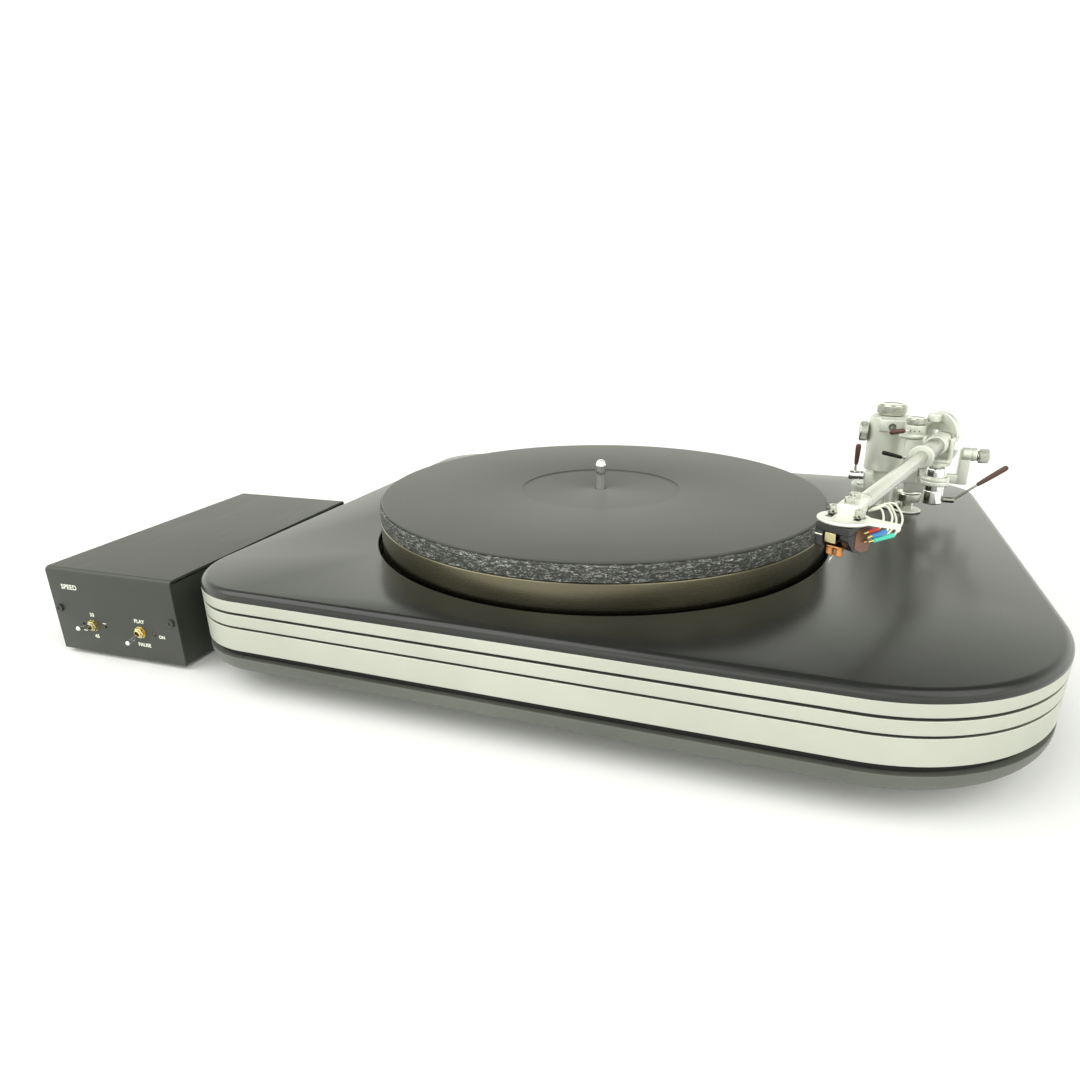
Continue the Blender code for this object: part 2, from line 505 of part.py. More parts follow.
# ---------------------------------------------------------------- tonearm: carriage on the tower
def build_carriage():
    """The tower that slides on the post, the arm's frame, the cueing cylinder and the side bracket."""
    x, y = TOWER_PLACE
    low, high = TOWER
    bore = POST_RADIUS + 0.4
    tower = [(0, high), (TOWER_RADIUS - 0.6, high), (TOWER_RADIUS, high - 0.6), (TOWER_RADIUS, low),
             (bore, low),
             (bore, 58), (0, 58)]
    carriage = empty("carriage", deck)
    turned("height_tower", tower, satin_silver, carriage, at=(x, y, 0), steps=MIDDLE_STEPS)

    ring_x, ring_y = RING_PLACE
    block = put("carriage_block", box_mesh("carriage_block", (24, 16, 9.5), (195.5, 118, 61.4)),
                satin_silver, carriage)
    neck = box_mesh("neck", (9.0, 22, 5.0), (204.6, 104, 63.4))
    ring = rod_mesh("ring", (ring_x, ring_y, 58), (ring_x, ring_y, 66.5), 6.9, sides=MIDDLE_STEPS)
    lip = rod_mesh("lip", (ring_x - 1.6, ring_y, 57.2), (ring_x - 1.6, ring_y, 59.7), 8.8,
                   sides=MIDDLE_STEPS)
    combine(block, "UNION", *[tool(carriage, mesh) for mesh in (neck, ring, lip)])
    seat = rod_mesh("seat", (x, y, 50), (x, y, 80), TOWER_RADIUS + GAP, sides=MIDDLE_STEPS)
    screw_hole = rod_mesh("screw_hole", (192.2, 105, 60.6), (192.2, 116, 60.6), 2.8)
    combine(block, "DIFFERENCE", tool(carriage, seat), tool(carriage, screw_hole))

    frame = put("bearing_frame", box_mesh("bearing_frame", (24, 14, 19), (216, 99, 26.5)), satin_silver,
                carriage)
    along = Vector((-math.sin(YOKE_PLATE_TURN), math.cos(YOKE_PLATE_TURN), 0))
    across = Vector((math.cos(YOKE_PLATE_TURN), math.sin(YOKE_PLATE_TURN), 0)) * YOKE_PLATE_HALF
    centre = Vector(YOKE_PLATE_PLACE)
    pivot_x, pivot_y = PIVOT
    cue_x, cue_y = CUE_PLACE
    joined = [
        rod_mesh("plate", centre - across, centre + across, YOKE_PLATE_RADIUS, sides=MIDDLE_STEPS),
        box_mesh("rib", (5, 11, 18), (217.5, 101, 38)),
        box_mesh("column", (11, 8, 32), (205.5, 90, 41)),
        box_mesh("link", (9, 34, 5.4), (216, 79, 32.2)),
        rod_mesh("boss", (pivot_x, pivot_y, 30), (pivot_x, pivot_y, 41.2), 6),
        rod_mesh("collar", (cue_x, cue_y, 31.5), (cue_x, cue_y, 37.3), 8.7),
    ]
    combine(frame, "UNION", *[tool(carriage, mesh) for mesh in joined])
    slot_middle = centre - along * 12
    cuts = [
        box_mesh("slot", (12, 36, 11), slot_middle, YOKE_PLATE_TURN),
        rod_mesh("cue_bore", (cue_x, cue_y, 20), (cue_x, cue_y, 40), 6.5),
        rod_mesh("pivot_bore", (pivot_x, pivot_y, 34.6), (pivot_x, pivot_y, 44), 3.3),
    ]
    combine(frame, "DIFFERENCE", *[tool(carriage, mesh) for mesh in cuts])

    cylinder = [(3.1, 44), (5.4, 44), (6.2, 43.2), (6.2, 19), (5.8, 18.5), (0, 18.5), (0, 34), (3.1, 34),
                (3.1, 44)]
    cylinder = turned("cue_cylinder", cylinder, chrome, carriage, at=(cue_x, cue_y, 0))

    bracket = put("side_bracket", box_mesh("side_bracket", (20, 6, 7), (239, BRACKET_Y, 23)), satin_silver,
                  carriage)
    joined = [
        box_mesh("upright", (7.5, 6, 26), (245.3, BRACKET_Y, 32.5)),
        rod_mesh("barrel", (242.4, BRACKET_Y, BRACKET_HEIGHT), (252.3, BRACKET_Y, BRACKET_HEIGHT), 4.9),
        box_mesh("foot", (6.4, 18, 7), (231.5, BRACKET_Y - 8, 23)),
    ]
    combine(bracket, "UNION", *[tool(carriage, mesh) for mesh in joined])
    return carriage


def knob(name, parent, at, turn, radius, height, used=satin_silver):
    """A round thumb knob with a chamfered face; its axis is its own Z."""
    profile = [(0, height), (radius - 0.7, height), (radius, height - 0.7), (radius, 0), (0, 0)]
    return turned(name, profile, used, parent, at, turn)


def stick(name, parent, start, bend, end, thin, thick, used, at=(0, 0, 0)):
    """A thin rod that ends in a round handle."""
    piece = put(name, rod_mesh(name, bend, end, thick), used, parent, at)
    return combine(piece, "UNION", tool(parent, rod_mesh("rod", start, Vector(bend).lerp(Vector(end), 0.3),
                                                         thin), at))


def build_arm_controls(carriage):
    """Knobs and levers round the tower, and the cueing lever with its platform."""
    side = (0, math.pi / 2, 0)
    knob("height_knob", carriage, (*TOWER_PLACE, 67.0), (0, 0, 0), 10.6, 7.9)
    knob("azimuth_knob", carriage, (*RING_PLACE, 66.8), (0, 0, 0), 6.9, 4.4)
    knob("clamp_knob", carriage, (177.2, TOWER_PLACE[1] - 1, 53.5), (0, -math.pi / 2, 0), 7.4, 6.0)
    knob("bias_knob", carriage, (252.7, BRACKET_Y, BRACKET_HEIGHT - 0.9), side, 5.2, 8.0)

    barrel = empty("tower_lock_axis", deck, at=(172, 113.5, 22.5))
    lock = put("tower_lock_lever", rod_mesh("tower_lock_lever", (-5.5, 0, 0), (5.5, 0, 0), 3.4), rosewood,
               barrel)
    combine(lock, "UNION", tool(barrel, rod_mesh("rod", (-1, 0, 0), (-1, 0, 12), 1.0)),
            tool(barrel, rod_mesh("grip", (-1, 0, 8), (-1, 0, 24), 2.0)))

    ring_axis = empty("azimuth_lever_axis", carriage, at=(*RING_PLACE, 63))
    stick("azimuth_lever", ring_axis, (-4.6, -5.9, 0), (-7.5, -8.6, 0), (-17.6, -13.4, -0.8), 0.9, 1.9,
          rosewood)
    rest_axis = empty("rest_lever_axis", carriage, at=(201, 83.9, 44))
    stick("rest_lever", rest_axis, (0, 0, 0), (-2, -1, 0), (-16, -3, 3.4), 1.2, 1.5, rubber)

    cue_x, cue_y = CUE_PLACE
    cue_axis = empty("cue_lever_axis", carriage, at=(cue_x, cue_y, CUE_LEVER_HEIGHT))
    lever = put("cue_lever", rod_mesh("cue_lever", (6.6, 0, 0), (14, 0, 0), 2.0), rosewood, cue_axis)
    combine(lever, "UNION", tool(cue_axis, rod_mesh("rod", (13, 0, -0.3), (30, 0, 15.2), 0.75, sides=12)),
            tool(cue_axis, rod_mesh("grip", (25.5, 0, 11.4), (41.5, 0, 24.9), 1.8)))

    platform = put("cue_platform", rod_mesh("cue_platform", (cue_x, cue_y, 35.8), (cue_x, cue_y, 48.6),
                                            2.7),
                   chrome, carriage)
    rest = box_mesh("rest", (24, 5, 2.8), (cue_x - 6, cue_y - 3, 48.9), ARM_TURN)
    combine(platform, "UNION", tool(carriage, rest))


# ---------------------------------------------------------------- tonearm: moving arm
def build_arm(carriage):
    """Yoke, tube, headshell, cartridge, counterweight and the four lead wires."""
    swing = empty("arm_swing_axis", carriage, at=(*PIVOT, PIVOT_HEIGHT), turn=(0, 0, ARM_TURN))
    yoke = put("arm_yoke", rod_mesh("arm_yoke", (0, 0, -15), (0, 0, -10.7), 9.3, sides=MIDDLE_STEPS),
               satin_silver, swing)
    cheeks = [box_mesh("cheek", (2.2, 8, 18.4), (side * 8.5, 0, -4.8)) for side in (-1, 1)]
    shaft = rod_mesh("shaft", (0, 0, -21.2), (0, 0, -12), 2.9)
    combine(yoke, "UNION", *[tool(swing, mesh) for mesh in (*cheeks, shaft)])
    combine(yoke, "DIFFERENCE", tool(swing, rod_mesh("pin_hole", (-15, 0, 0), (15, 0, 0), 2.1)))

    arm = empty("arm_tilt_axis", swing, turn=(ARM_RISE, 0, 0))
    sections = [(3.2, 48), (3.2, 7), (7, 6.5), (7, -10), (6.4, -11), (6.4, -14), (NECK_RADIUS, -14.3),
                (NECK_RADIUS, COLLAR[0]), (7.3, COLLAR[0] - 0.3), (7.3, COLLAR[1]),
                (TUBE_RADIUS, COLLAR[1] - 0.3), (TUBE_RADIUS, TUBE_END)]
    profile = [(0, sections[0][1]), *sections, (0, TUBE_END)]
    tube = turned("arm_tube", profile, satin_silver, arm, turn=(-math.pi / 2, 0, 0))
    combine(tube, "UNION", tool(arm, rod_mesh("trunnion", (-9.4, 0, 0), (9.4, 0, 0), 1.6)))

    weight = [(3.5, 49.5), (7.2, 49.5), (7.2, 31.5), (3.5, 31.5)]
    turned("counterweight", weight, steel, arm, turn=(-math.pi / 2, 0, 0), ring=True)

    bottom, top = HEAD_PLATE
    plate = rod_mesh("headshell", (0, HEAD_CENTRE, bottom), (0, HEAD_CENTRE, top), HEAD_RADIUS,
                     sides=MIDDLE_STEPS)
    shell = put("headshell", plate, ivory, arm)
    block = box_mesh("block", (9.4, 18.2, HEAD_BLOCK_TOP - bottom),
                     (0, -219.2, (HEAD_BLOCK_TOP + bottom) / 2))
    lift = box_mesh("lift", (16, 3.6, top - bottom), (14.6, HEAD_CENTRE + 0.8, (top + bottom) / 2))
    lift_end = box_mesh("lift_end", (1.8, 3.6, 3.6), (22.4, HEAD_CENTRE + 0.8, -0.9))
    combine(shell, "UNION", *[tool(arm, mesh) for mesh in (block, lift, lift_end)])
    build_cartridge(arm, bottom - GAP)


def build_cartridge(arm, roof):
    """Cartridge body, the coil block with the stylus, and four lead wires to the arm tube."""
    head = empty("cartridge_axis", arm, at=(0, HEAD_CENTRE, roof), turn=(0, 0, CARTRIDGE_TURN))
    body = put("cartridge_body", box_mesh("cartridge_body", (16, 19, 4), (0, 0.5, -2)), cartridge_black,
               head)
    joined = [
        box_mesh("left_wing", (4, 14, 8), (-6, -2, -7)),
        box_mesh("right_wing", (4.4, 18, 11.5), (5.8, 1, -8.6)),
        box_mesh("spine", (15, 5, 12), (0, 7.5, -6.5)),
        box_mesh("bridge", (9, 7, 4), (0, -1, -5)),
    ]
    combine(body, "UNION", *[tool(head, mesh) for mesh in joined])
    coil = put("coil_block", box_mesh("coil_block", (6.5, 5, 4.6), (0, -4.2, -12.6)), copper, head)
    stem = box_mesh("stem", (3, 7, 3), (0, 1.1, -11.5))
    stylus = rod_mesh("stylus", (0, -5, -13.5), (0, -8.2, -17.6), 0.45, 0.2, sides=8)
    combine(coil, "UNION", tool(head, stem), tool(head, stylus))

    rear, sleeve_step = 10.3, 3.0
    leads = {  # colour, pin on the rear face, and the loop back to the tube in the arm's own frame
        "red": ((0.7, 0.05, 0.04), (-2.2, -3.4), [(7.0, -209.6, -4.2), (9.2, -205.8, -3.4),
                                                  (8.6, -202.4, -3.2)]),
        "white": ((0.8, 0.8, 0.75), (-1.6, -8.0), [(8.5, -208.0, -8.2), (12.4, -203.6, -4.8),
                                                   (10.4, -198.9, -3.2)]),
        "blue": ((0.05, 0.25, 0.65), (2.4, -4.6), [(14.0, -208.2, -5.0), (16.2, -201.0, -2.6),
                                                   (12.2, -195.3, -2.2)]),
        "green": ((0.1, 0.6, 0.5), (3.0, -9.2), [(17.6, -206.0, -7.2), (19.8, -197.8, -3.2),
                                                 (14.6, -191.6, -2.0)]),
    }
    turn = Matrix.Rotation(CARTRIDGE_TURN, 3, "Z")
    for number, (colour, (shade, (x, z), loop)) in enumerate(leads.items()):
        sleeve = [turn @ Vector((x, rear + sleeve_step * i, 0)) for i in range(4)]
        sleeve = [(spot.x, HEAD_CENTRE + spot.y, roof + z) for spot in sleeve]
        tube_side = (TUBE_RADIUS + 1.0, -204.0 + 3.6 * number, -2.6)
        wire_through(f"lead_{colour}", arm, sleeve, [*loop, tube_side],
                     finish(f"lead_{colour}", shade, 0.5, 0.0))


def wire_through(name, arm, sleeve, loop, used):
    """A lead: a sleeve over the pin, then thin wire along a smooth curve through the points."""
    sleeve_radius, wire_radius, pieces_each = 0.95, 0.55, 4
    stops = [Vector(point) for point in sleeve + loop]
    points = [(stops[0], sleeve_radius), (stops[2], sleeve_radius)]
    for i in range(2, len(stops) - 1):
        before, here, there, after = stops[i - 1], stops[i], stops[i + 1], stops[min(i + 2, len(stops) - 1)]
        for j in range(1, pieces_each + 1):
            t = j / pieces_each
            bend = 2 * before - 5 * here + 4 * there - after
            spot = 0.5 * (2 * here + (there - before) * t + bend * t * t
                          + (3 * here - before - 3 * there + after) * t ** 3)
            points.append((spot, wire_radius))
    curve = bpy.data.curves.new(name, "CURVE")
    curve.dimensions = "3D"
    curve.bevel_depth = MM
    curve.bevel_resolution = 1
    curve.use_fill_caps = True
    spline = curve.splines.new("POLY")
    spline.points.add(len(points) - 1)
    for point, (spot, radius) in zip(spline.points, points):
        point.co = (*metres(spot), 1.0)
        point.radius = radius
    return put(name, curve, used, arm)


build_plinth()
build_drive()
build_control_unit()
build_arm_base()
arm_carriage = build_carriage()
build_arm_controls(arm_carriage)
build_arm(arm_carriage)
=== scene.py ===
# Looks of a belt-drive record player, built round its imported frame
import json
import math

import bmesh
import bpy
from mathutils import Matrix, Vector


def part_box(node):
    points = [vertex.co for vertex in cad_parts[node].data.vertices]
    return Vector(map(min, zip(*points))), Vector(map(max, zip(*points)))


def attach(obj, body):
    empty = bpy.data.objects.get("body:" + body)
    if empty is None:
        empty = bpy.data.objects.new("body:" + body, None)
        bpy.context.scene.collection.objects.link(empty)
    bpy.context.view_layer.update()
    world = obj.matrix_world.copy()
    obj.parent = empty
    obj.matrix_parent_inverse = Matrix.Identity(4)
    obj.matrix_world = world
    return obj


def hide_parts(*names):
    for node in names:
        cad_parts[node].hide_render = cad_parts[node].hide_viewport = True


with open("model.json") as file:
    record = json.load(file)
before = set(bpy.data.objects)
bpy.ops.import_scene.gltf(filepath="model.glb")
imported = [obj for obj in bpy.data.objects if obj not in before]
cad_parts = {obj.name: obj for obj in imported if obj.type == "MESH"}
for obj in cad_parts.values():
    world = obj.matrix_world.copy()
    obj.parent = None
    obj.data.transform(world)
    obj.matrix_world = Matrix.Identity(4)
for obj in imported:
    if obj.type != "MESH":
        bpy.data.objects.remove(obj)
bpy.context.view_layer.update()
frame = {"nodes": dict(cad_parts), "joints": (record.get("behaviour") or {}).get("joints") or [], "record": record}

mm = 0.001
jointPlace = {joint["name"]: Vector(joint["pos_m"]) for joint in frame["joints"] if "pos_m" in joint}
jointAxis = {joint["name"]: Vector(joint["axis"]) for joint in frame["joints"]}
slotOf = {entry["node"]: entry["material_slot"] for entry in frame["record"]["subparts"]}
toMetres = Matrix.Scale(mm, 4)

# where pieces are drawn, in millimetres: from the ground or the deck under the platter's axis
spindlePlace = jointPlace["platter_spin"]
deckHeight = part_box("top_plate")[1].z
groundFrame = Matrix.Translation((spindlePlace.x, spindlePlace.y, 0)) @ toMetres
deckFrame = Matrix.Translation((spindlePlace.x, spindlePlace.y, deckHeight)) @ toMetres


# shader groups: they put out only values, colours and normals

def newGroup(name, inputs, outputs):
    group = bpy.data.node_groups.new(name, "ShaderNodeTree")
    for label, kind, value in inputs:
        socket = group.interface.new_socket(label, in_out="INPUT", socket_type="NodeSocket" + kind)
        if value is not None:
            socket.default_value = value
    for label, kind in outputs:
        group.interface.new_socket(label, in_out="OUTPUT", socket_type="NodeSocket" + kind)
    return group, group.nodes.new("NodeGroupInput"), group.nodes.new("NodeGroupOutput")


def mathNode(group, operation, first, second=None, third=None, clamp=False):
    node = group.nodes.new("ShaderNodeMath")
    node.operation = operation
    node.use_clamp = clamp
    for socket, value in zip(node.inputs, (first, second, third)):
        if value is None:
            continue
        if isinstance(value, (int, float)):
            socket.default_value = value
        else:
            group.links.new(value, socket)
    return node.outputs[0]


def noiseNode(group, vector, scale, detail=3.0, roughness=0.55):
    node = group.nodes.new("ShaderNodeTexNoise")
    node.inputs["Detail"].default_value = detail
    node.inputs["Roughness"].default_value = roughness
    group.links.new(vector, node.inputs["Vector"])
    if isinstance(scale, (int, float)):
        node.inputs["Scale"].default_value = scale
    else:
        group.links.new(scale, node.inputs["Scale"])
    return node.outputs["Fac"]


def stretched(group, vector, factors):
    node = group.nodes.new("ShaderNodeVectorMath")
    node.operation = "MULTIPLY"
    group.links.new(vector, node.inputs[0])
    if isinstance(factors, (tuple, list)):
        node.inputs[1].default_value = factors
    else:
        group.links.new(factors, node.inputs[1])
    return node.outputs[0]


def makeGrain():
    # fine paint or moulding grain with broad handling smears
    group, source, result = newGroup("paintGrain", [
        ("Vector", "Vector", None), ("Grain Scale", "Float", 900.0), ("Smear Scale", "Float", 9.0)],
        [("Grain", "Float"), ("Smear", "Float")])
    fine = noiseNode(group, source.outputs["Vector"], source.outputs["Grain Scale"], 2.0)
    broad = noiseNode(group, source.outputs["Vector"], source.outputs["Smear Scale"], 4.0, 0.6)
    spread = mathNode(group, "MULTIPLY_ADD", broad, 2.2, -0.6, clamp=True)
    group.links.new(fine, result.inputs["Grain"])
    group.links.new(spread, result.inputs["Smear"])
    return group


def makeBrushed():
    # long streaks left by brushing or by a lathe tool, stretched by a factor for each direction
    group, source, result = newGroup("brushedStreaks", [
        ("Vector", "Vector", None), ("Stretch", "Vector", (8.0, 8.0, 2600.0))],
        [("Grain", "Float"), ("Smear", "Float")])
    drawn = stretched(group, source.outputs["Vector"], source.outputs["Stretch"])
    fine = noiseNode(group, drawn, 1.0, 4.0, 0.65)
    broad = noiseNode(group, source.outputs["Vector"], 14.0, 3.0)
    spread = mathNode(group, "MULTIPLY_ADD", broad, 2.0, -0.5, clamp=True)
    group.links.new(fine, result.inputs["Grain"])
    group.links.new(spread, result.inputs["Smear"])
    return group


def makeTurned():
    # concentric tool marks round an upright axis
    group, source, result = newGroup("turnedRings", [
        ("Vector", "Vector", None), ("Centre", "Vector", (0.0, 0.0, 0.0)), ("Rings", "Float", 1800.0)],
        [("Grain", "Float"), ("Smear", "Float")])
    away = group.nodes.new("ShaderNodeVectorMath")
    away.operation = "SUBTRACT"
    group.links.new(source.outputs["Vector"], away.inputs[0])
    group.links.new(source.outputs["Centre"], away.inputs[1])
    flat = stretched(group, away.outputs[0], (1.0, 1.0, 0.0))
    size = group.nodes.new("ShaderNodeVectorMath")
    size.operation = "LENGTH"
    group.links.new(flat, size.inputs[0])
    rings = group.nodes.new("ShaderNodeTexNoise")
    rings.noise_dimensions = "1D"
    rings.inputs["Detail"].default_value = 2.0
    group.links.new(size.outputs["Value"], rings.inputs["W"])
    group.links.new(source.outputs["Rings"], rings.inputs["Scale"])
    broad = noiseNode(group, source.outputs["Vector"], 12.0, 3.0)
    spread = mathNode(group, "MULTIPLY_ADD", broad, 2.0, -0.5, clamp=True)
    group.links.new(rings.outputs["Fac"], result.inputs["Grain"])
    group.links.new(spread, result.inputs["Smear"])
    return group


def makeFlecks():
    # bright flakes pressed flat in a dark compound
    group, source, result = newGroup("pressedFlecks", [
        ("Vector", "Vector", None), ("Stretch", "Vector", (260.0, 260.0, 900.0)),
        ("Amount", "Float", 0.5)],
        [("Grain", "Float"), ("Smear", "Float")])
    drawn = stretched(group, source.outputs["Vector"], source.outputs["Stretch"])
    wander = group.nodes.new("ShaderNodeTexNoise")
    wander.inputs["Scale"].default_value = 1.3
    group.links.new(drawn, wander.inputs["Vector"])
    bent = group.nodes.new("ShaderNodeVectorMath")
    bent.operation = "MULTIPLY_ADD"
    group.links.new(wander.outputs["Color"], bent.inputs[0])
    bent.inputs[1].default_value = (1.6, 1.6, 1.6)
    group.links.new(drawn, bent.inputs[2])
    first = noiseNode(group, bent.outputs[0], 1.0, 5.0, 0.72)
    second = noiseNode(group, bent.outputs[0], 3.1, 4.0, 0.7)
    both = mathNode(group, "MULTIPLY", first, second)
    lifted = mathNode(group, "SUBTRACT", both, source.outputs["Amount"])
    flecks = mathNode(group, "MULTIPLY", lifted, 9.0, clamp=True)
    group.links.new(flecks, result.inputs["Grain"])
    group.links.new(first, result.inputs["Smear"])
    return group


def makeWoodGrain():
    # long darker pores along the grain
    group, source, result = newGroup("woodGrain", [
        ("Vector", "Vector", None), ("Stretch", "Vector", (900.0, 900.0, 160.0))],
        [("Grain", "Float"), ("Smear", "Float")])
    drawn = stretched(group, source.outputs["Vector"], source.outputs["Stretch"])
    fine = noiseNode(group, drawn, 1.0, 5.0, 0.7)
    broad = noiseNode(group, drawn, 0.35, 3.0)
    group.links.new(fine, result.inputs["Grain"])
    group.links.new(broad, result.inputs["Smear"])
    return group


patternGroups = {"grain": makeGrain(), "brushed": makeBrushed(), "turned": makeTurned(),
                 "flecks": makeFlecks(), "wood": makeWoodGrain()}


def makeFinish(name, dark, light, rough, pattern="grain", settings=None, metallic=0.0, bump=0.02,
               bumpDepth=0.0001, mixBy="Smear", coat=0.0):
    # one Principled material: the pattern's masks mix its colour, its roughness and a shallow relief
    made = bpy.data.materials.new(name)
    made.use_nodes = True
    tree = made.node_tree
    shader = tree.nodes["Principled BSDF"]
    place = tree.nodes.new("ShaderNodeTexCoord")
    marks = tree.nodes.new("ShaderNodeGroup")
    marks.node_tree = patternGroups[pattern]
    tree.links.new(place.outputs["Object"], marks.inputs["Vector"])
    for label, value in (settings or {}).items():
        marks.inputs[label].default_value = value
    tint = tree.nodes.new("ShaderNodeMix")
    tint.data_type = "RGBA"
    tree.links.new(marks.outputs[mixBy], tint.inputs["Factor"])
    tint.inputs["A"].default_value = (*dark, 1.0)
    tint.inputs["B"].default_value = (*light, 1.0)
    tree.links.new(tint.outputs["Result"], shader.inputs["Base Color"])
    spread = tree.nodes.new("ShaderNodeMapRange")
    spread.inputs["To Min"].default_value = rough[0]
    spread.inputs["To Max"].default_value = rough[1]
    tree.links.new(marks.outputs["Grain"], spread.inputs["Value"])
    tree.links.new(spread.outputs["Result"], shader.inputs["Roughness"])
    relief = tree.nodes.new("ShaderNodeBump")
    relief.inputs["Strength"].default_value = bump
    relief.inputs["Distance"].default_value = bumpDepth
    tree.links.new(marks.outputs["Grain"], relief.inputs["Height"])
    tree.links.new(relief.outputs["Normal"], shader.inputs["Normal"])
    shader.inputs["Metallic"].default_value = metallic
    shader.inputs["Coat Weight"].default_value = coat
    shader.inputs["Coat Roughness"].default_value = 0.1
    return made


